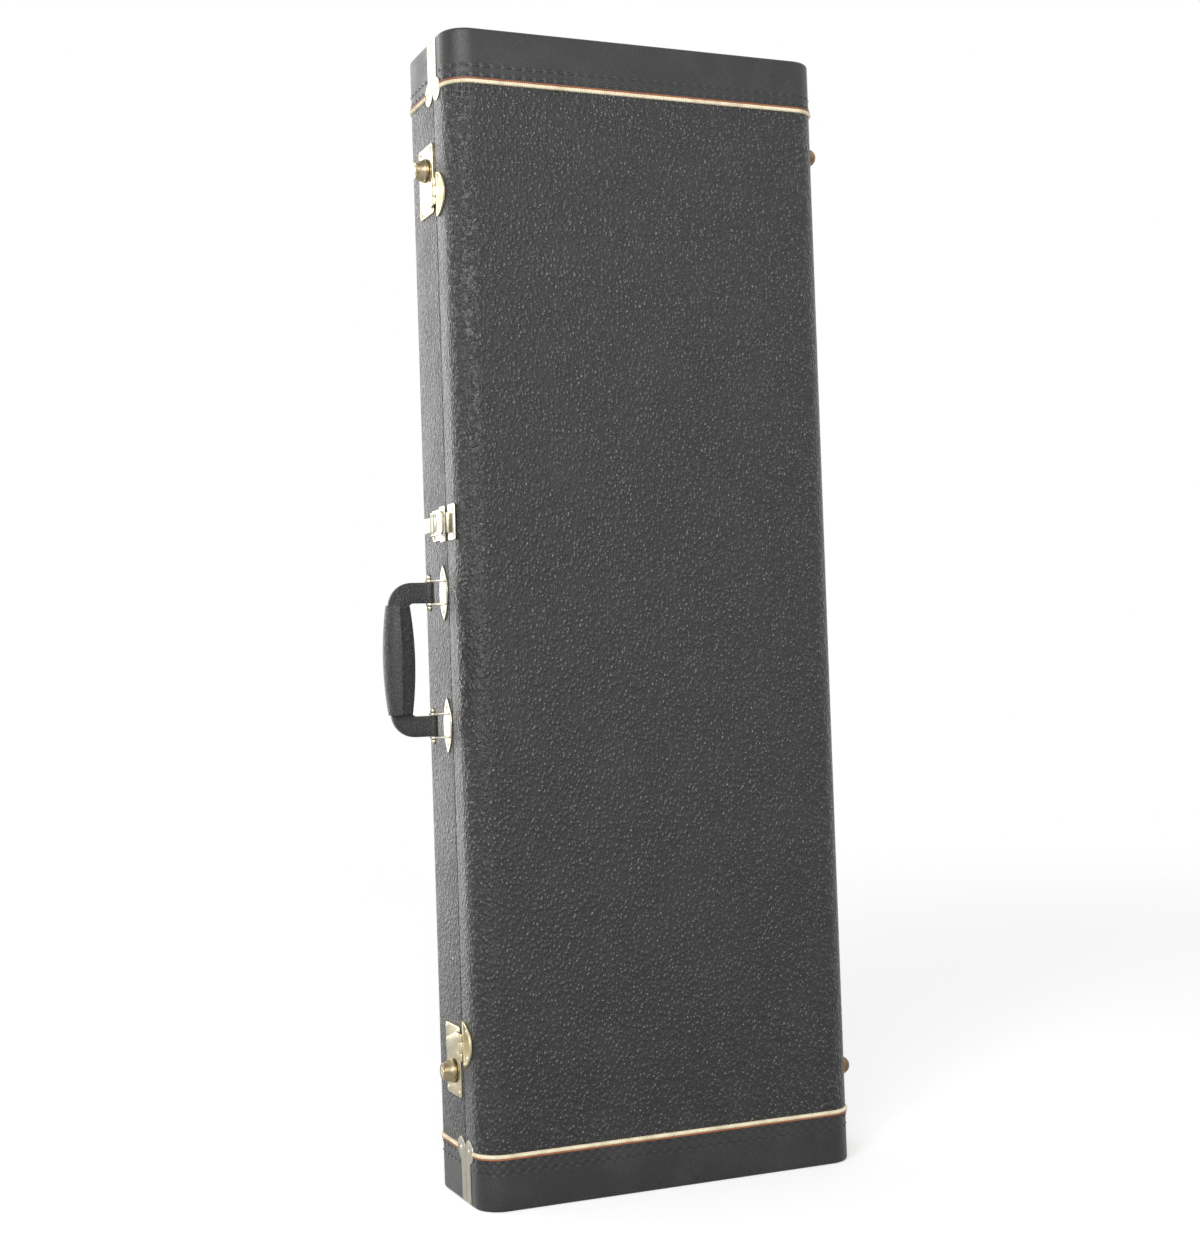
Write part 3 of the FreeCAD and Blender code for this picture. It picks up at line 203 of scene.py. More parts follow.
def marks_nodes(bench: Bench, given: dict) -> dict:
    """Fine scratches, and soft blotches of handling."""
    along = bench.put("ShaderNodeTexNoise", Vector=bench.stretched(given["Vector"], (1, 1, 0.05)),
                      Scale=bench.math("MULTIPLY", given["Size"], 9.0), Detail=3.0)
    across = bench.put("ShaderNodeTexNoise", Vector=bench.stretched(given["Vector"], (1, 0.06, 0.7)),
                       Scale=bench.math("MULTIPLY", given["Size"], 7.0), Detail=3.0)
    cloud = bench.put("ShaderNodeTexNoise", Vector=given["Vector"], Scale=given["Size"], Detail=5.0)
    upright = bench.ramp(along.outputs[0], 0.62, 0.72)
    lines = bench.math("MAXIMUM", upright, bench.ramp(across.outputs[0], 0.64, 0.74))
    blotch = bench.ramp(cloud.outputs[0], 0.42, 0.68)
    return {"Scratches": lines, "Blotch": blotch, "Height": bench.math("SUBTRACT", 0.5, lines)}


def dust_nodes(bench: Bench, given: dict) -> dict:
    """Pale dust, thickest on what faces upwards."""
    facing = bench.put("ShaderNodeNewGeometry").outputs["Normal"]
    up = bench.put("ShaderNodeSeparateXYZ", Vector=facing).outputs["Z"]
    speck = bench.put("ShaderNodeTexNoise", Vector=given["Vector"], Scale=700.0, Detail=2.0)
    film = bench.put("ShaderNodeTexNoise", Vector=given["Vector"], Scale=14.0, Detail=4.0)
    level = bench.ramp(up, 0.2, 1.0, 0.15, 1.0)
    lying = bench.math("MULTIPLY", level, bench.ramp(film.outputs[0], 0.35, 0.75))
    mask = bench.math("MAXIMUM", bench.math("MULTIPLY", lying, 0.6), bench.ramp(speck.outputs[0], 0.72, 0.8))
    return {"Mask": mask}


def pile_nodes(bench: Bench, given: dict) -> dict:
    """Short plush pile, with patches where it lies another way, which the plush paints lighter as a painted
    sheen.
    """
    tuft = bench.put("ShaderNodeTexNoise", Vector=given["Vector"], Scale=1500.0, Detail=2.0)
    patch = bench.put("ShaderNodeTexNoise", Vector=given["Vector"], Scale=34.0, Detail=5.0, Distortion=0.3)
    tone = bench.ramp(patch.outputs[0], 0.3, 0.8)
    return {"Height": tuft.outputs[0], "Lay": tone}


class Effects:
    """The shared shader groups, each built once."""

    def __init__(self) -> None:
        """Build the four groups."""
        flat, vector = "NodeSocketFloat", "NodeSocketVector"
        self.pebble = build_group("pebble_grain", {"Vector": vector, "Cells": flat},
                                  {"Height": flat, "Crease": flat}, pebble_nodes)
        self.marks = build_group("handling_marks", {"Vector": vector, "Size": flat},
                                 {"Scratches": flat, "Blotch": flat, "Height": flat}, marks_nodes)
        self.dust = build_group("dust", {"Vector": vector}, {"Mask": flat}, dust_nodes)
        self.pile = build_group("plush_pile", {"Vector": vector}, {"Height": flat, "Lay": flat}, pile_nodes)


def start_material(name: str) -> tuple[bpy.types.Material, Bench, bpy.types.Node, bpy.types.NodeSocket]:
    """Begin a node material.

    Args:
        name: the material's name.
    Returns:
        The material, its bench, its Principled node and the object coordinates.
    """
    material = bpy.data.materials.new(name)
    material.use_nodes = True
    bench = Bench(material.node_tree)
    shader = material.node_tree.nodes["Principled BSDF"]
    place = bench.put("ShaderNodeTexCoord").outputs["Object"]
    return material, bench, shader, place


def add_bump(bench: Bench, shader: bpy.types.Node, height, depth: float) -> None:
    """Give a shader its relief from a height socket."""
    bump = bench.put("ShaderNodeBump", Height=height, Distance=depth, Strength=1.0)
    bench.tree.links.new(bump.outputs[0], shader.inputs["Normal"])


@dataclass(frozen=True)
class Leather:
    """Vinyl or leather: its colour, grain and wear."""

    name: str
    color: tuple[float, float, float]
    worn: tuple[float, float, float]
    roughness: float
    cells: float
    stretch: tuple[float, float, float]
    depth: float
    crease_roughness: float = 0.18
    dust: float = 0.12
    scuffs: float = 0.25
    puckered: bool = False
    sheen: float = 0.2
    sheen_roughness: float = 0.35
    refraction: float = 1.5
    # How far the creases between pebbles are darkened in the colour, as painted shade.
    painted_crease_shade: float = 0.55
    gather: float = 5.0

    def puckers(self, bench: Bench, place) -> bpy.types.NodeSocket:
        """The gathers that the thread pulls up beside the bead, at both ends."""
        axes = bench.put("ShaderNodeSeparateXYZ", Vector=place).outputs
        case_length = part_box("body_cap_top")[1].z
        from_end = bench.math("MINIMUM", axes["Z"], bench.math("SUBTRACT", case_length, axes["Z"]))
        middle = CAP_HEIGHT - (STITCH_ROWS[0] + STITCH_ROWS[1]) / 2
        off = bench.math("ABSOLUTE", bench.math("SUBTRACT", from_end, middle))
        row = bench.math("ABSOLUTE", bench.math("SUBTRACT", off, (STITCH_ROWS[1] - STITCH_ROWS[0]) / 2))
        zone = bench.ramp(row, 2.6 * MM, 0.6 * MM)
        travel = bench.math("SUBTRACT", axes["X"], axes["Y"])
        wave = bench.math("SINE", bench.math("MULTIPLY", travel, 2 * math.pi / STITCH_PITCH))
        return bench.math("MULTIPLY", bench.math("MULTIPLY", wave, zone), self.gather)

    def material(self, effects: Effects) -> bpy.types.Material:
        """Build the material from the shared groups."""
        made, bench, shader, place = start_material(self.name)
        grain = bench.put("ShaderNodeGroup", {"node_tree": effects.pebble},
                          Vector=bench.stretched(place, self.stretch), Cells=self.cells)
        marks = bench.put("ShaderNodeGroup", {"node_tree": effects.marks}, Vector=place, Size=26.0)
        dust = bench.put("ShaderNodeGroup", {"node_tree": effects.dust}, Vector=place)
        scuffed = bench.math("MULTIPLY", marks.outputs["Scratches"], self.scuffs)
        blotched = bench.math("MAXIMUM", scuffed, bench.math("MULTIPLY", marks.outputs["Blotch"], 0.35))
        color = bench.mix(blotched, (*self.color, 1), (*self.worn, 1))
        color = bench.mix(bench.math("MULTIPLY", dust.outputs[0], self.dust), color, DUST_COLOR)
        # Painted shade: the creases between pebbles are mixed towards a darker copy of the colour, three
        # tenths of it.
        painted_shade = bench.math("MULTIPLY", grain.outputs["Crease"], self.painted_crease_shade)
        color = bench.mix(painted_shade, color, tuple(0.3 * part for part in self.color) + (1,))
        bench.tree.links.new(color, shader.inputs["Base Color"])
        rough = bench.math("MULTIPLY", grain.outputs["Crease"], self.crease_roughness)
        rough = bench.math("ADD", rough, bench.math("MULTIPLY", marks.outputs["Blotch"], 0.1))
        rough = bench.math("ADD", rough, self.roughness)
        bench.tree.links.new(rough, shader.inputs["Roughness"])
        shader.inputs["IOR"].default_value = self.refraction
        shader.inputs["Sheen Weight"].default_value = self.sheen
        shader.inputs["Sheen Roughness"].default_value = self.sheen_roughness
        height = grain.outputs["Height"]
        if self.puckered:
            height = bench.math("ADD", height, self.puckers(bench, place))
        add_bump(bench, shader, height, self.depth)
        return made


@dataclass(frozen=True)
class Metal:
    """A plated or bare metal: its colour, tarnish and polish."""

    name: str
    color: tuple[float, float, float]
    tarnish: tuple[float, float, float]
    roughness: float
    tarnished: float = 0.5
    relief: float = 0.00003

    def material(self, effects: Effects) -> bpy.types.Material:
        """Build the material from the shared groups."""
        made, bench, shader, place = start_material(self.name)
        marks = bench.put("ShaderNodeGroup", {"node_tree": effects.marks}, Vector=place, Size=120.0)
        dull = bench.math("MULTIPLY", marks.outputs["Blotch"], self.tarnished)
        color = bench.mix(dull, (*self.color, 1), (*self.tarnish, 1))
        bench.tree.links.new(color, shader.inputs["Base Color"])
        rough = bench.math("MULTIPLY", marks.outputs["Blotch"], 0.14)
        rough = bench.math("ADD", rough, bench.math("MULTIPLY", marks.outputs["Scratches"], 0.18))
        bench.tree.links.new(bench.math("ADD", rough, self.roughness), shader.inputs["Roughness"])
        shader.inputs["Metallic"].default_value = 1.0
        add_bump(bench, shader, marks.outputs["Height"], self.relief)
        return made


@dataclass(frozen=True)
class Plush:
    """Short-pile cloth for the inside."""

    name: str
    color: tuple[float, float, float]
    painted_sheen_color: tuple[float, float, float]

    def material(self, effects: Effects) -> bpy.types.Material:
        """Build the material from the shared groups."""
        made, bench, shader, place = start_material(self.name)
        pile = bench.put("ShaderNodeGroup", {"node_tree": effects.pile}, Vector=place)
        # Painted sheen: where the pile lies another way, the colour is mixed towards a lighter copy of the
        # plush.
        color = bench.mix(pile.outputs["Lay"], (*self.color, 1), (*self.painted_sheen_color, 1))
        bench.tree.links.new(color, shader.inputs["Base Color"])
        shader.inputs["Roughness"].default_value = 0.95
        shader.inputs["Sheen Weight"].default_value = 0.6
        shader.inputs["Sheen Roughness"].default_value = 0.4
        add_bump(bench, shader, pile.outputs["Height"], 0.0009)
        return made


@dataclass(frozen=True)
class Yarn:
    """Thread, bead cloth or wood: a soft matt colour with streaks."""

    name: str
    color: tuple[float, float, float]
    soiled: tuple[float, float, float]
    roughness: float = 0.75
    streaks: tuple[float, float, float] = (1, 1, 1)
    depth: float = 0.00015

    def material(self, effects: Effects) -> bpy.types.Material:
        """Build the material from the shared groups."""
        made, bench, shader, place = start_material(self.name)
        marks = bench.put("ShaderNodeGroup", {"node_tree": effects.marks},
                          Vector=bench.stretched(place, self.streaks), Size=60.0)
        fibre = bench.put("ShaderNodeTexNoise", Vector=bench.stretched(place, self.streaks), Scale=1800.0)
        soiling = bench.math("MULTIPLY", marks.outputs["Blotch"], 0.55)
        color = bench.mix(soiling, (*self.color, 1), (*self.soiled, 1))
        bench.tree.links.new(color, shader.inputs["Base Color"])
        shader.inputs["Roughness"].default_value = self.roughness
        add_bump(bench, shader, fibre.outputs[0], self.depth)
        return made


class Finish(Enum):
    """Every finish on the case, named after its material slot; the grip's leather shares the handle's."""

    GRAINED_VINYL = Leather("grained_vinyl", (0.012, 0.0122, 0.0122), (0.03, 0.03, 0.029), 0.2, 320.0,
                            (1.0, 1.0, 0.72), 0.0009)
    CAP_LEATHER = Leather("cap_leather", (0.02, 0.0205, 0.0205), (0.05, 0.049, 0.047), 0.36, 800.0,
                          (1.0, 1.0, 1.0), 0.00008, 0.08, 0.12, 0.5, True)
    HANDLE_LEATHER = Leather("handle_leather", (0.014, 0.014, 0.014), (0.05, 0.046, 0.04), 0.3, 620.0,
                             (1.0, 1.0, 0.8), 0.0003, 0.15, 0.1, 0.4)
    GRIP_LEATHER = Leather("grip_leather", (0.010, 0.010, 0.010), (0.03, 0.028, 0.026), 0.2, 700.0,
                           (1.0, 1.0, 0.9), 0.0009, 0.15, 0.1, 0.3)
    PLUSH = Plush("plush", (0.17, 0.022, 0.015), (0.26, 0.045, 0.03))
    NICKEL = Metal("nickel", (0.52, 0.49, 0.40), (0.34, 0.30, 0.21), 0.26)
    BRASS = Metal("brass", (0.62, 0.56, 0.385), (0.48, 0.385, 0.215), 0.24)
    ANTIQUE_BRASS = Metal("antique_brass", (0.36, 0.30, 0.19), (0.13, 0.095, 0.05), 0.27, 0.8)
    BRONZE = Metal("bronze", (0.30, 0.20, 0.11), (0.11, 0.07, 0.04), 0.3, 0.7)
    STEEL = Metal("steel", (0.62, 0.61, 0.58), (0.40, 0.37, 0.33), 0.26)
    NAIL_STEEL = Metal("nail_steel", (0.74, 0.71, 0.63), (0.45, 0.40, 0.31), 0.28)
    CREAM_PIPING = Yarn("cream_piping", (0.80, 0.72, 0.52), (0.50, 0.40, 0.24), 0.6)
    PLYWOOD = Yarn("plywood", (0.62, 0.45, 0.27), (0.40, 0.26, 0.14), 0.6, (1, 1, 0.05), 0.0001)


class EndThread(Enum):
    """Threads, which have no slot of their own."""

    BLACK = Yarn("black_thread", (0.012, 0.012, 0.012), (0.03, 0.028, 0.026), 0.5)
    RUST = Yarn("rust_thread", (0.36, 0.12, 0.045), (0.2, 0.06, 0.03), 0.7)


class PaintShop:
    """Builds each finish once and hands it out."""

    def __init__(self) -> None:
        """Build the shared groups; materials are made when first asked for."""
        self.effects = Effects()
        self.made: dict[Enum, bpy.types.Material] = {}

    def get(self, finish: Enum) -> bpy.types.Material:
        """The material of one finish."""
        if finish not in self.made:
            self.made[finish] = finish.value.material(self.effects)
        return self.made[finish]


# ---- Mesh helpers --------
def mark_sharp(bm: bmesh.types.BMesh, limit: float = SHARP) -> None:
    """Shade every face smooth and keep the edges sharper than the limit crisp."""
    for face in bm.faces:
        face.smooth = True
    for edge in bm.edges:
        if len(edge.link_faces) == 2:
            edge.smooth = edge.calc_face_angle(0.0) < limit


@dataclass
class Maker:
    """Turns bmeshes into finished pieces that ride on the right body."""

    paint: PaintShop

    def piece(self, name: str, bm: bmesh.types.BMesh, finish: Enum, slot: str, body: str,
              replaces: Iterable[str] = ()) -> bpy.types.Object:
        """Finish one piece.

        Args:
            name: the piece's name.
            bm: its shape, which is freed.
            finish: its finish.
            slot: not used.
            body: the CAD body it moves with.
            replaces: CAD nodes it stands for.
        Returns:
            The new object.
        """
        mark_sharp(bm)
        mesh = bpy.data.meshes.new(name)
        bm.to_mesh(mesh)
        bm.free()
        return self.dress(bpy.data.objects.new(name, mesh), finish, body, replaces)

    def dress(self, obj: bpy.types.Object, finish: Enum, body: str,
              replaces: Iterable[str] = ()) -> bpy.types.Object:
        """Link an object, give it its finish and set it on its body."""
        if obj.name not in bpy.context.scene.collection.objects:
            bpy.context.scene.collection.objects.link(obj)
        obj.data.materials.clear()
        obj.data.materials.append(self.paint.get(finish))
        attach(obj, body)
        for node in replaces:
            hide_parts(node)
        log.info("%-32s %7d faces", obj.name, len(obj.data.polygons))
        return obj

    def softened(self, node: str, name: str, width: float, segments: int, finish: Enum,
                 slot: str = "") -> None:
        """Stand in for a CAD node with its own shape and rounded edges.

        Args:
            node: the CAD node.
            name: the new piece's name.
            width: how wide the edges are rounded, in metres.
            segments: how many steps the rounding has.
            finish: the piece's finish.
            slot: its material slot, when that isn't named after the finish.
        """
        bm = merged_copy(node)
        soften(bm, width, segments)
        self.piece(name, bm, finish, slot or finish.value.name, frame["nodes"][node]["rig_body"], [node])


def add_shape(whole: bmesh.types.BMesh, part: bmesh.types.BMesh) -> None:
    """Add one shape to another and free it."""
    holder = bpy.data.meshes.new("holder")
    part.to_mesh(holder)
    part.free()
    whole.from_mesh(holder)
    bpy.data.meshes.remove(holder)


def cut_at(bm: bmesh.types.BMesh, place: tuple[float, float, float], facing: tuple[float, float, float],
           **keep: bool) -> dict:
    """Cut a whole shape along a plane.

    Args:
        bm: the shape.
        place: a point on the plane.
        facing: the plane's normal.
        keep: which side is cleared, if any.
    Returns:
        What the operator returns.
    """
    return bmesh.ops.bisect_plane(bm, geom=bm.verts[:] + bm.edges[:] + bm.faces[:], plane_co=place,
                                  plane_no=facing, **keep)


def merged_copy(node: str) -> bmesh.types.BMesh:
    """A copy of a CAD node's mesh with its corners merged and its flat faces joined."""
    bm = bmesh.new()
    bm.from_mesh(frame["nodes"][node].data)
    bmesh.ops.remove_doubles(bm, verts=bm.verts, dist=SAME_PLACE)
    bmesh.ops.dissolve_limit(bm, angle_limit=math.radians(0.6), verts=bm.verts, edges=bm.edges)
    return bm


def soften(bm: bmesh.types.BMesh, width: float, segments: int = 2) -> None:
    """Round the sharp edges of a shape by a small width."""
    sharp = [edge for edge in bm.edges if len(edge.link_faces) == 2 and edge.calc_face_angle(0.0) > SHARP]
    bmesh.ops.bevel(bm, geom=sharp, offset=width, offset_type="OFFSET", segments=segments, profile=0.5,
                    affect="EDGES", clamp_overlap=True, material=-1)
    bmesh.ops.remove_doubles(bm, verts=bm.verts, dist=SAME_PLACE)


def block(low: Vector, high: Vector) -> bmesh.types.BMesh:
    """A box between two corners."""
    bm = bmesh.new()
    spread = high - low
    place = Matrix.Translation((low + high) / 2) @ Matrix.Diagonal((*spread, 1))
    bmesh.ops.create_cube(bm, size=1.0, matrix=place)
    return bm


def edges_where(bm: bmesh.types.BMesh, test: Callable) -> list[bmesh.types.BMEdge]:
    """The edges whose two ends both pass a test."""
    return [edge for edge in bm.edges if all(test(vert.co) for vert in edge.verts)]


def round_edges(bm: bmesh.types.BMesh, edges: list, radius: float, segments: int) -> None:
    """Round some edges."""
    bmesh.ops.bevel(bm, geom=edges, offset=radius, offset_type="OFFSET", segments=segments, profile=0.5,
                    affect="EDGES", clamp_overlap=False, material=-1)


# ---- The rounded section of one half --------
@dataclass
class Outline:
    """One half of the case's section, followed from the handle side round its large face."""

    half: Half
    half_width: float
    edge_y: float
    face_y: float
    radius: float = EDGE_RADIUS

    @classmethod
    def of(cls, half: Half) -> "Outline":
        """Read one half's sizes from its covering."""
        low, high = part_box(half.value + "_covering")
        if half is Half.BODY:
            return cls(half, high.x, low.y, high.y)
        return cls(half, high.x, high.y, low.y)

    @property
    def away(self) -> float:
        """The direction along Y away from the seam."""
        return 1.0 if self.half is Half.BODY else -1.0

    @property
    def side_run(self) -> float:
        """The straight length on one narrow side."""
        return abs(self.face_y - self.edge_y) - self.radius

    @property
    def total(self) -> float:
        """The length of the whole half outline."""
        return 2 * self.side_run + math.pi * self.radius + 2 * (self.half_width - self.radius)

    def at(self, distance: float, stand: float = 0.0) -> tuple[Vector, Vector, Vector]:
        """A place on the outline.

        Args:
            distance: how far along from the seam on the handle side.
            stand: how far out from the surface.
        Returns:
            The point at height 0, the direction of travel and the outward direction.
        """
        if distance > self.total / 2:
            point, travel, outward = self.at(self.total - distance, stand)
            return (Vector((-point.x, point.y, 0)), Vector((travel.x, -travel.y, 0)),
                    Vector((-outward.x, outward.y, 0)))
        arc_end = self.side_run + math.pi / 2 * self.radius
        if distance <= self.side_run:
            outward = Vector((-1, 0, 0))
            point = Vector((-self.half_width, self.edge_y + self.away * distance, 0))
        elif distance <= arc_end:
            angle = (distance - self.side_run) / self.radius
            outward = Vector((-math.cos(angle), self.away * math.sin(angle), 0))
            centre = Vector((self.radius - self.half_width, self.face_y - self.away * self.radius, 0))
            point = centre + outward * self.radius
        else:
            outward = Vector((0, self.away, 0))
            point = Vector((self.radius - self.half_width + distance - arc_end, self.face_y, 0))
        travel = Vector((self.away * outward.y, -self.away * outward.x, 0))
        return point + outward * stand, travel, outward


# ---- Skins and caps --------
@dataclass
class Skins:
    """The grained covering of each half, turned over the rim."""

    maker: Maker
    segments: int = 20

    def prism(self, outline: Outline, low_z: float, high_z: float) -> bmesh.types.BMesh:
        """The whole rounded case between two heights."""
        far_y = Outline.of(Half.LID if outline.half is Half.BODY else Half.BODY).face_y
        low_y, high_y = sorted((outline.face_y, far_y))
        bm = block(Vector((-outline.half_width, low_y, low_z)), Vector((outline.half_width, high_y, high_z)))
        upright = [e for e in bm.edges if abs(e.verts[0].co.z - e.verts[1].co.z) > (high_z - low_z) / 2]
        round_edges(bm, upright, outline.radius, self.segments)
        return bm

    def split(self, bm: bmesh.types.BMesh, outline: Outline) -> None:
        """Cut a shape at the seam and keep this half."""
        cut_at(bm, (0, outline.edge_y, 0), (0, outline.away, 0), clear_inner=True)

    def turn_over(self, bm: bmesh.types.BMesh, outline: Outline, floor_z: float) -> None:
        """Turn the open rim inwards over the plywood and round the fold.

        Args:
            bm: the open half shell.
            outline: its section.
            floor_z: the lowest height the turned edge may reach.
        """
        on_seam = lambda co: abs(co.y - outline.edge_y) < 1e-6
        rim = [e for e in edges_where(bm, on_seam) if len(e.link_faces) == 1]
        new = bmesh.ops.extrude_edge_only(bm, edges=rim)["geom"]
        reach = outline.half_width - SKIN - PLY
        for vert in (item for item in new if isinstance(item, bmesh.types.BMVert)):
            vert.co.x = max(-reach, min(reach, vert.co.x))
            vert.co.z = max(floor_z, vert.co.z)
        bmesh.ops.remove_doubles(bm, verts=bm.verts, dist=1e-6)
        fold = [e for e in bm.edges if len(e.link_faces) == 2 and all(on_seam(v.co) for v in e.verts)
                and e.calc_face_angle(0.0) > 1.0]
        round_edges(bm, fold, RIM_ROUND, 3)

    def thicken(self, bm: bmesh.types.BMesh) -> None:
        """Give an open skin its thickness, inwards."""
        bmesh.ops.recalc_face_normals(bm, faces=bm.faces)
        bmesh.ops.solidify(bm, geom=bm.faces[:], thickness=SKIN * 0.98)

    def build(self) -> None:
        """Make both coverings."""
        for half in Half:
            outline = Outline.of(half)
            low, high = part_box(half.value + "_covering")
            bm = self.prism(outline, low.z, high.z)
            ends = [face for face in bm.faces if abs(face.normal.z) > 0.9]
            bmesh.ops.delete(bm, geom=ends, context="FACES")
            self.split(bm, outline)
            self.turn_over(bm, outline, low.z)
            self.thicken(bm)
            self.maker.piece(half.value + "_skin", bm, Finish.GRAINED_VINYL, "grained_vinyl", half.value,
                             [half.value + "_covering"])


@dataclass
class Caps:
    """The smooth sewn cup over each end, with its stitching, piping bead and rust thread."""

    maker: Maker
    skins: Skins

    def turned(self, bm: bmesh.types.BMesh, end: End) -> bmesh.types.BMesh:
        """Mirror a shape to the case's top end when it belongs there."""
        if end is End.TOP:
            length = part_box("body_cap_top")[1].z
            bmesh.ops.scale(bm, vec=(1, 1, -1), verts=bm.verts)
            bmesh.ops.translate(bm, vec=(0, 0, length), verts=bm.verts)
            bmesh.ops.reverse_faces(bm, faces=bm.faces)
        return bm

    def cup(self, outline: Outline) -> bmesh.types.BMesh:
        """One half of the bottom cap."""
        neck_z = CAP_HEIGHT + 2 * BEAD_RADIUS
        bm = self.skins.prism(outline, 0.0, neck_z)
        bmesh.ops.delete(bm, geom=[face for face in bm.faces if face.normal.z > 0.9], context="FACES")
        round_edges(bm, edges_where(bm, lambda co: co.z < 1e-6), CAP_END_ROUND, 6)
        for height in (CAP_HEIGHT, CAP_HEIGHT + 0.2 * MM):
            cut_at(bm, (0, 0, height), (0, 0, 1))
        half_depth = max(vert.co.y for vert in bm.verts)
        for vert in bm.verts:
            if vert.co.z > CAP_HEIGHT + 0.1 * MM:
                vert.co.x *= 1 - SKIN / outline.half_width
                vert.co.y *= 1 - SKIN / half_depth
        self.skins.split(bm, outline)
        for inset in (BAND_WIDTH, BAND_WIDTH + 0.15 * MM):
            cut_at(bm, (0, outline.edge_y + outline.away * inset, 0), (0, 1, 0))
        for vert in bm.verts:
            if abs(vert.co.y - outline.edge_y) < BAND_WIDTH + 0.05 * MM and vert.co.z < CAP_END_ROUND:
                vert.co.z += BAND_LET_IN * (1 - vert.co.z / CAP_END_ROUND)
        self.skins.turn_over(bm, outline, SKIN + PLY)
        self.skins.thicken(bm)
        return bm

    def stitches(self, outline: Outline) -> bmesh.types.BMesh:
        """The rows of thread beside the bead, as small low-poly stitches."""
        bm = bmesh.new()
        for row, below in enumerate(STITCH_ROWS):
            start = BAND_WIDTH + 2.5 * MM
            count = int((outline.total - 2 * start) / STITCH_PITCH)
            step = (outline.total - 2 * start) / count
            for index in range(count):
                lean = 0.1 * math.sin(2.7 * index + row)
                point, travel, outward = outline.at(start + (index + 0.5) * step, 0.12 * MM)
                along = (travel + Vector((0, 0, lean))).normalized() * STITCH_HALF[0]
                up = along.cross(outward).normalized() * STITCH_HALF[1]
                out = outward * STITCH_HALF[2]
                place = Matrix((along, up, out)).transposed().to_4x4()
                place.translation = point + Vector((0, 0, CAP_HEIGHT - below))
                bmesh.ops.create_icosphere(bm, subdivisions=1, radius=1.0, matrix=place)
        bmesh.ops.recalc_face_normals(bm, faces=bm.faces)
        return bm

    def swept(self, outline: Outline, height: float, stand: float, radius: float, ribbed: float,
              stop: float) -> bmesh.types.BMesh:
        """A round line that follows the outline.

        Args:
            outline: the section it follows.
            height: how high it lies.
            stand: how far out its middle stands.
            radius: its thickness.
            ribbed: how deep its ribs are, as a share of the radius.
            stop: how far from the seam it ends.
        Returns:
            Its shape.
        """
        curve = bpy.data.curves.new("swept", "CURVE")
        curve.dimensions = "3D"
        curve.bevel_depth = radius
        curve.bevel_resolution = 2
        curve.use_fill_caps = True
        spline = curve.splines.new("POLY")
        count = int((outline.total - 2 * stop) / BEAD_PITCH * BEAD_STEPS)
        spline.points.add(count)
        for index, point in enumerate(spline.points):
            spot, _, _ = outline.at(stop + index * (outline.total - 2 * stop) / count, stand)
            point.co = (spot.x, spot.y, height, 1.0)
            point.radius = 1.0 - ribbed * math.sin(math.pi * index / BEAD_STEPS) ** 2
        holder = bpy.data.objects.new("swept", curve)
        bpy.context.scene.collection.objects.link(holder)
        mesh = bpy.data.meshes.new_from_object(holder)
        bm = bmesh.new()
        bm.from_mesh(mesh)
        bpy.data.objects.remove(holder)
        bpy.data.curves.remove(curve)
        bpy.data.meshes.remove(mesh)
        bmesh.ops.remove_doubles(bm, verts=bm.verts, dist=1e-7)
        bmesh.ops.recalc_face_normals(bm, faces=bm.faces)
        return bm

    def build(self) -> None:
        """Make the four cap halves and all that is sewn along them."""
        for half in Half:
            outline = Outline.of(half)
            body = half.value
            beads = bmesh.new()
            for end in End:
                cup = self.turned(self.cup(outline), end)
                self.maker.piece(f"{body}_end_cap_{end.value}", cup, Finish.CAP_LEATHER, "cap_leather", body,
                                 [f"{body}_cap_{end.value}"])
                thread = self.turned(self.stitches(outline), end)
                self.maker.piece(f"{body}_stitches_{end.value}", thread, EndThread.BLACK, "cap_leather", body)
                rust = self.swept(outline, CAP_HEIGHT - 0.4 * MM, 0.6 * MM, 0.78 * MM, 0.25, EAR_WIDTH)
                self.maker.piece(f"{body}_rust_thread_{end.value}", self.turned(rust, end), EndThread.RUST,
                                 "cream_piping", body)
                bead = self.swept(outline, CAP_HEIGHT + BEAD_RADIUS, 0.0, BEAD_RADIUS, 0.18, EAR_WIDTH)
                add_shape(beads, self.turned(bead, end))
            self.maker.piece(body + "_bead", beads, Finish.CREAM_PIPING, "cream_piping", body,
                             [body + "_piping"])


# ---- Metalwork --------
@dataclass
class Metalwork:
    """Locks, hasps, latch, hinges, bands and mounts: their CAD shapes with rounded edges."""

    maker: Maker

    def plan(self) -> dict[Finish, dict[str, float]]:
        """Which nodes get which finish, and how wide their edges are rounded, in millimetres."""
        places = ("lower", "upper")
        hinges = {f"{p}_hinge_{half.value}_leaf": 0.25 for p in ("lower", "middle", "upper") for half in Half}
        bands = {f"{half.value}_band_{end.value}": 0.2 for half in Half for end in End}
        mounts = {f"{p}_handle_mount": 0.4 for p in places}
        locks = {f"{p}_{kind}": 0.3 for p in places for kind in ("lock_plate", "hasp", "hasp_plate")}
        knobs = {f"{p}_lock_knob": 0.35 for p in places}
        keys = {f"{p}_key_cylinder": 0.2 for p in places}
        latch = {"latch_base": 0.3, "latch_lever": 0.45, "latch_claw": 0.4, "latch_strike": 0.35}
        return {Finish.NICKEL: hinges | bands | mounts | latch, Finish.BRASS: locks | keys,
                Finish.ANTIQUE_BRASS: knobs}

    def build(self) -> None:
        """Dress every metal part."""
        for finish, nodes in self.plan().items():
            for node, width in nodes.items():
                self.maker.softened(node, node + "_dressed", width * MM, 2, finish)


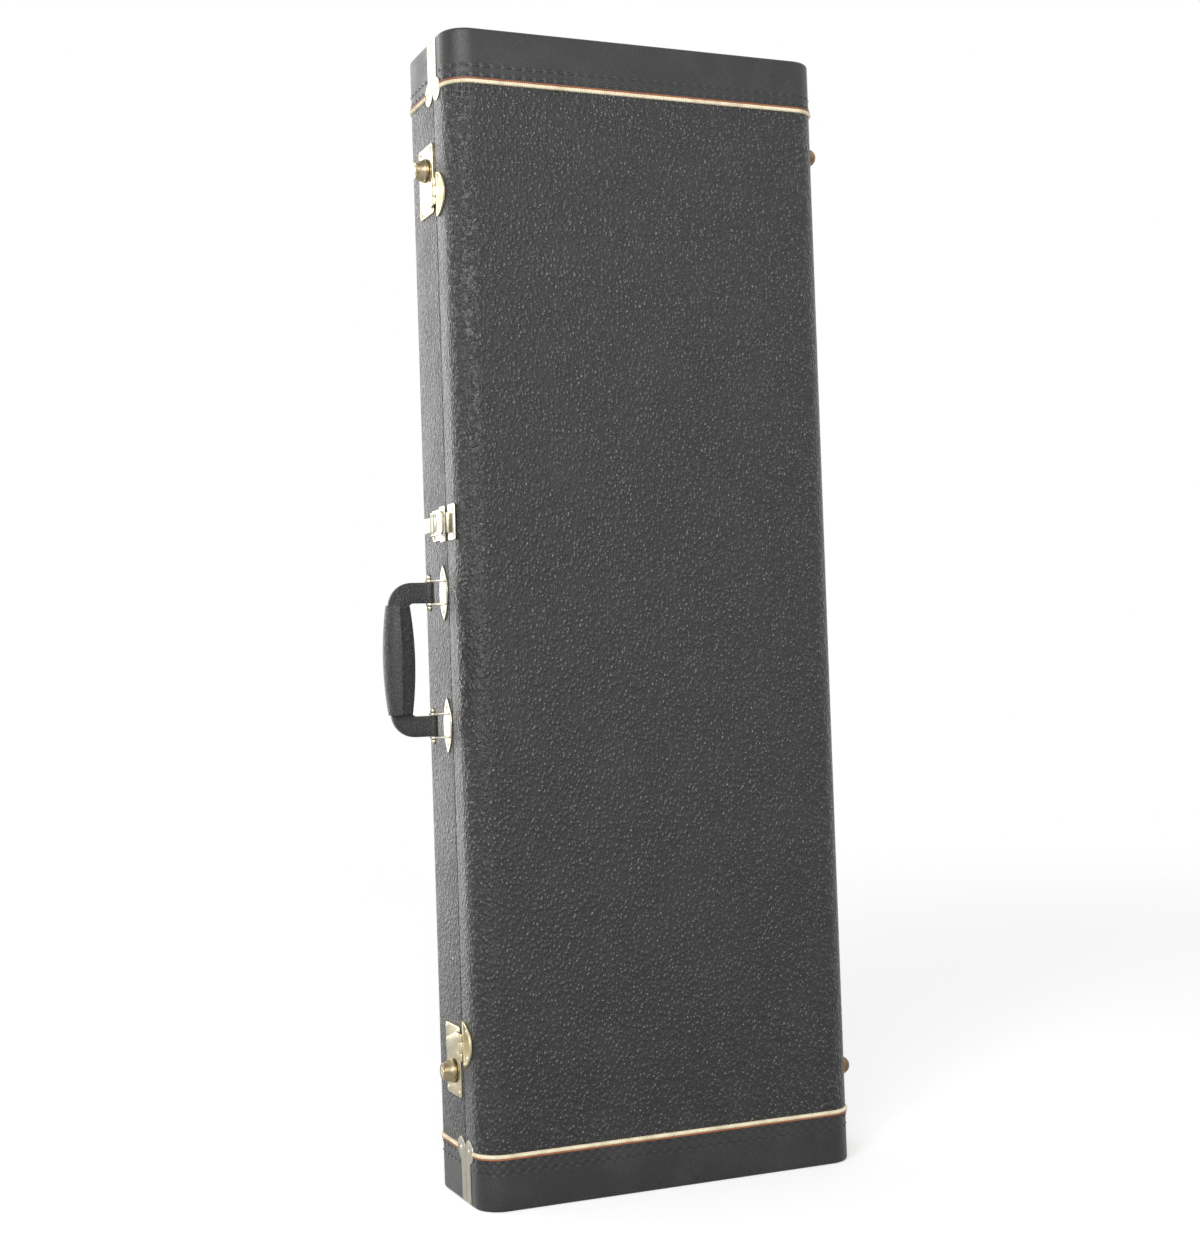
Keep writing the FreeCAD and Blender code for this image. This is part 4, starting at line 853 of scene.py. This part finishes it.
@dataclass
class Feet:
    """The domed feet on the hinge side."""

    maker: Maker

    def dome(self, low: Vector, high: Vector) -> bmesh.types.BMesh:
        """One foot, turned about its axis out from the side."""
        radius = (high.z - low.z) / 2
        height = high.x - low.x
        bm = bmesh.new()
        rim = 0.16 * height
        profile = [Vector((0.0, 0, height))]
        for step in range(1, 11):
            angle = step / 10 * math.pi / 2
            rise = rim + (height - rim) * math.cos(angle)
            profile.append(Vector((0.86 * radius * math.sin(angle), 0, rise)))
        profile += [Vector((0.95 * radius, 0, rim)), Vector((radius, 0, 0.6 * rim)), Vector((radius, 0, 0.0)),
                    Vector((0.0, 0, 0.0))]
        verts = [bm.verts.new(point) for point in profile]
        edges = [bm.edges.new(pair) for pair in zip(verts, verts[1:])]
        bmesh.ops.spin(bm, geom=verts + edges, cent=(0, 0, 0), axis=(0, 0, 1), angle=2 * math.pi, steps=40,
                       use_merge=True, use_duplicate=False)
        bmesh.ops.remove_doubles(bm, verts=bm.verts, dist=1e-6)
        bmesh.ops.recalc_face_normals(bm, faces=bm.faces)
        centre = Vector((low.x, (low.y + high.y) / 2, (low.z + high.z) / 2))
        turn = Matrix.Translation(centre) @ Matrix.Rotation(math.pi / 2, 4, "Y")
        bmesh.ops.transform(bm, matrix=turn, verts=bm.verts)
        return bm

    def build(self) -> None:
        """Make the two feet of each half."""
        for half in Half:
            low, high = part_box(half.value + "_feet")
            radius = (high.y - low.y) / 2
            both = bmesh.new()
            for base in (low.z, high.z - 2 * radius):
                one = self.dome(Vector((low.x, low.y, base)), Vector((high.x, high.y, base + 2 * radius)))
                add_shape(both, one)
            self.maker.piece(half.value + "_domed_feet", both, Finish.BRONZE, "bronze", half.value,
                             [half.value + "_feet"])


# ---- Handle --------
@dataclass
class Handle:
    """The leather strap, the padded grip round its middle and the sleeve over the grip's outer side."""

    maker: Maker
    strap_width: float = 18.5 * MM
    outer_corner: float = 22 * MM
    sleeve_stand: float = 0.7 * MM
    sleeve_lap: float = 1.5 * MM
    seam_inset: float = 2.6 * MM
    pitch: float = 3.6 * MM

    def sleeve(self) -> bmesh.types.BMesh:
        """The smooth leather that runs over the grip's outer half."""
        low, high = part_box("handle_grip")
        axis = (low + high) / 2
        bm = merged_copy("handle_grip")
        grown = 1 + 2 * self.sleeve_stand / (high.y - low.y)
        bmesh.ops.translate(bm, vec=-axis, verts=bm.verts)
        longer = 1 + 2 * self.sleeve_stand / (high.z - low.z)
        bmesh.ops.scale(bm, vec=(grown, grown, longer), verts=bm.verts)
        bmesh.ops.translate(bm, vec=axis, verts=bm.verts)
        cut = cut_at(bm, (axis.x - self.sleeve_lap, 0, 0), (1, 0, 0), clear_outer=True)
        rim = [item for item in cut["geom_cut"] if isinstance(item, bmesh.types.BMEdge)]
        bmesh.ops.contextual_create(bm, geom=rim)
        bmesh.ops.recalc_face_normals(bm, faces=bm.faces)
        soften(bm, 0.6 * MM, 3)
        return bm

    def stitches(self) -> bmesh.types.BMesh:
        """Two rows of thread along the strap's edges, on both its flat sides."""
        low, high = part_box("handle_strap")
        grip_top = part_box("handle_grip")[1].z
        bm = bmesh.new()
        for inset in (self.seam_inset, self.strap_width - self.seam_inset):
            radius = max(self.outer_corner - inset, 3 * MM)
            x_out, x_start = low.x + inset, high.x - 12 * MM
            z_end = high.z - inset
            run = x_start - x_out - radius
            arc = math.pi / 2 * radius
            count = int((run + arc) / self.pitch)
            for index in range(count):
                distance = (index + 0.5) * self.pitch
                if distance < run:
                    spot, along = Vector((x_start - distance, 0, z_end)), Vector((-1, 0, 0))
                else:
                    angle = (distance - run) / radius
                    spot = Vector((x_out + radius * (1 - math.sin(angle)), 0,
                                   z_end - radius * (1 - math.cos(angle))))
                    along = Vector((-math.cos(angle), 0, -math.sin(angle)))
                if spot.z < grip_top:
                    continue
                for mirrored in (False, True):
                    self.lay(bm, spot, along, mirrored, low, high)
        bmesh.ops.recalc_face_normals(bm, faces=bm.faces)
        return bm

    def lay(self, bm: bmesh.types.BMesh, spot: Vector, along: Vector, mirrored: bool, low: Vector,
            high: Vector) -> None:
        """Lay one stitch on each flat side of the strap.

        Args:
            bm: what it is added to.
            spot: its place on the upper bend.
            along: the way it lies.
            mirrored: whether it belongs to the lower bend.
            low: the strap's lowest corner.
            high: the strap's highest corner.
        """
        middle_z = (low.z + high.z) / 2
        z = 2 * middle_z - spot.z if mirrored else spot.z
        way = Vector((along.x, 0, -along.z if mirrored else along.z))
        for y in (low.y, high.y):
            across = way.cross(Vector((0, 1, 0))) * STRAP_STITCH_HALF[1]
            place = Matrix((way * STRAP_STITCH_HALF[0], across, Vector((0, STRAP_STITCH_HALF[2], 0))))
            place = place.transposed().to_4x4()
            place.translation = Vector((spot.x, y, z))
            bmesh.ops.create_icosphere(bm, subdivisions=1, radius=1.0, matrix=place)

    def build(self) -> None:
        """Make the strap, the grip, its sleeve and the stitches."""
        slot = "handle_leather"
        self.maker.softened("handle_strap", "handle_strap_leather", 1.3 * MM, 4, Finish.HANDLE_LEATHER)
        self.maker.softened("handle_grip", "handle_grip_leather", 1.2 * MM, 4, Finish.GRIP_LEATHER, slot)
        self.maker.piece("handle_outer_sleeve", self.sleeve(), Finish.HANDLE_LEATHER, slot, "handle")
        self.maker.piece("handle_stitches", self.stitches(), EndThread.BLACK, slot, "handle")


# ---- Plush interior --------
@dataclass
class Interior:
    """Linings, pads, the shaped surround, the neck rest and the compartment."""

    maker: Maker

    def stuffed(self, node: str, voxel: float, rounds: int) -> bmesh.types.BMesh:
        """A soft copy of a CAD pad: remeshed, smoothed and a little uneven.

        Args:
            node: the CAD pad.
            voxel: the size of its new mesh, in metres.
            rounds: how often it is smoothed.
        Returns:
            The soft shape.
        """
        source = merged_copy(node)
        mesh = bpy.data.meshes.new("stuffed")
        source.to_mesh(mesh)
        source.free()
        holder = bpy.data.objects.new("stuffed", mesh)
        bpy.context.scene.collection.objects.link(holder)
        remesh = holder.modifiers.new("even", "REMESH")
        remesh.mode = "VOXEL"
        remesh.voxel_size = voxel
        graph = bpy.context.evaluated_depsgraph_get()
        even = bpy.data.meshes.new_from_object(holder.evaluated_get(graph))
        bm = bmesh.new()
        bm.from_mesh(even)
        bpy.data.objects.remove(holder)
        bpy.data.meshes.remove(mesh)
        bpy.data.meshes.remove(even)
        for _ in range(rounds):
            bmesh.ops.smooth_vert(bm, verts=bm.verts, factor=0.5, use_axis_x=True, use_axis_y=True,
                                  use_axis_z=True)
        bm.normal_update()
        for vert in bm.verts:
            sway = noise.noise(vert.co * 22.0)
            vert.co -= vert.normal * (0.4 + 0.5 * sway) * MM
        return bm

    def build(self) -> None:
        """Dress the inside."""
        pads = {"back_pad": 0.85, "body_surround": 0.8, "neck_rest": 0.8, "lid_pad": 0.7}
        for node, fill in pads.items():
            bm = self.stuffed(node, 5 * MM, 7)
            body = frame["nodes"][node]["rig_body"]
            pad = self.maker.piece(node + "_plush", bm, Finish.PLUSH, "plush", body, [node])
        thin = {"body_lining": 0.4, "lid_lining": 0.4, "compartment_box": 1.0, "compartment_lid": 1.0}
        for node, width in thin.items():
            self.maker.softened(node, node + "_plush", width * MM, 3, Finish.PLUSH)
        self.maker.softened("pull_tab", "pull_tab_leather", 0.5 * MM, 3, Finish.HANDLE_LEATHER)


# ---- The CAD parts that stay --------
def dress_kept_parts(paint: PaintShop) -> None:
    """Give every CAD part that is still shown its finish, by its slot in the record."""
    by_slot = {finish.value.name: finish for finish in Finish}
    for name, node in frame["nodes"].items():
        slot = next((m.material.name for m in node.material_slots if m.material), "")
        finish = next((by_slot[key] for key in by_slot if slot.startswith(key)), Finish.STEEL)
        for holder in node.material_slots:
            holder.material = paint.get(finish)
        if not node.hide_render:
            log.info("%-32s keeps its CAD shape in %s", name, finish.value.name)


# ---- Studio --------
@dataclass
class Studio:
    """Floor, light and camera."""

    lens: float = 56.12
    azimuth: float = math.radians(-22.8)
    elevation: float = math.radians(-1.68)
    roll: float = math.radians(-1.93)
    distance: float = 1.7968
    target: tuple[float, float, float] = (-0.0305, 0.0, 0.5171)
    floor_radius: float = 9.0
    fade: tuple[float, float] = (0.7, 3.2)
    floor_glow: float = 0.38
    sky_light: float = 0.4

    def floor(self) -> None:
        """A pale floor that fades into the white background."""
        bm = bmesh.new()
        bmesh.ops.create_circle(bm, cap_ends=True, radius=self.floor_radius, segments=64)
        mesh = bpy.data.meshes.new("floor")
        bm.to_mesh(mesh)
        bm.free()
        plane = bpy.data.objects.new("floor", mesh)
        bpy.context.scene.collection.objects.link(plane)
        material, bench, shader, place = start_material("floor_paint")
        shader.inputs["Base Color"].default_value = (0.86, 0.86, 0.86, 1)
        shader.inputs["Roughness"].default_value = 0.9
        shader.inputs["Specular IOR Level"].default_value = 0.1
        seen = bench.put("ShaderNodeLightPath").outputs["Is Camera Ray"]
        shader.inputs["Emission Color"].default_value = (1, 1, 1, 1)
        glow = bench.math("MULTIPLY", seen, self.floor_glow)
        bench.tree.links.new(glow, shader.inputs["Emission Strength"])
        reach = bench.put("ShaderNodeVectorMath", {"operation": "LENGTH"}, in_0=place).outputs["Value"]
        clear = bench.put("ShaderNodeBsdfTransparent")
        blend = bench.put("ShaderNodeMixShader", Fac=bench.ramp(reach, *self.fade), in_1=shader.outputs[0],
                          in_2=clear.outputs[0])
        output = material.node_tree.nodes["Material Output"]
        bench.tree.links.new(blend.outputs[0], output.inputs["Surface"])
        plane.data.materials.append(material)

    def sky(self) -> None:
        """A white surround that lights the case gently."""
        world = bpy.data.worlds.new("studio")
        bpy.context.scene.world = world
        world.use_nodes = True
        bench = Bench(world.node_tree)
        path = bench.put("ShaderNodeLightPath")
        seen = bench.math("MAXIMUM", path.outputs["Is Camera Ray"], path.outputs["Is Glossy Ray"])
        seen = bench.math("MAXIMUM", seen, path.outputs["Is Transmission Ray"])
        background = world.node_tree.nodes["Background"]
        background.inputs["Color"].default_value = (1, 1, 1, 1)
        strength = bench.math("ADD", bench.math("MULTIPLY", seen, 1 - self.sky_light), self.sky_light)
        bench.tree.links.new(strength, background.inputs["Strength"])

    def lamp(self, name: str, place: tuple[float, float, float], size: tuple[float, float],
             power: float) -> None:
        """One soft rectangular lamp aimed at the middle of the case.

        Args:
            name: the lamp's name.
            place: where it hangs, in metres.
            size: its width and height.
            power: its power in watts.
        """
        light = bpy.data.lights.new(name, "AREA")
        light.shape = "RECTANGLE"
        light.size, light.size_y = size
        light.energy = power
        holder = bpy.data.objects.new(name, light)
        holder.location = place
        aim = Vector(self.target) - Vector(place)
        holder.rotation_euler = aim.to_track_quat("-Z", "Y").to_euler()
        bpy.context.scene.collection.objects.link(holder)

    def camera(self) -> None:
        """The camera, placed by its angles, distance and roll about the target."""
        back = Vector((math.sin(self.azimuth) * math.cos(self.elevation),
                       -math.cos(self.azimuth) * math.cos(self.elevation), math.sin(self.elevation)))
        right = (-back).cross(Vector((0, 0, 1))).normalized()
        up = back.cross(right)
        turned_right = right * math.cos(self.roll) + up * math.sin(self.roll)
        turned_up = up * math.cos(self.roll) - right * math.sin(self.roll)
        data = bpy.data.cameras.new("camera")
        data.lens = self.lens
        data.sensor_width = 36.0
        data.clip_end = 50.0
        holder = bpy.data.objects.new("camera", data)
        matrix = Matrix((turned_right, turned_up, back)).transposed().to_4x4()
        matrix.translation = Vector(self.target) + back * self.distance
        holder.matrix_world = matrix
        bpy.context.scene.collection.objects.link(holder)
        bpy.context.scene.camera = holder

    def build(self) -> None:
        """Set the stage."""
        bpy.context.scene.view_settings.view_transform = "Standard"
        self.floor()
        self.sky()
        self.lamp("back_window", (-1.8, 3.0, 0.95), (3.2, 3.6), 74.0)
        self.lamp("front_window", (-1.3, -2.4, 1.5), (2.8, 1.3), 76.0)
        self.lamp("key", (-1.9, -1.9, 2.2), (0.4, 0.4), 8.0)
        self.camera()


def main() -> None:
    """Build the case, piece by piece."""
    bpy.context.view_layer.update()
    paint = PaintShop()
    maker = Maker(paint)
    skins = Skins(maker)
    for part in (skins, Caps(maker, skins), Metalwork(maker), Feet(maker), Handle(maker), Interior(maker)):
        log.info("-- %s", type(part).__name__)
        part.build()
    dress_kept_parts(paint)
    Studio().build()


if __name__ == "__main__":
    main()
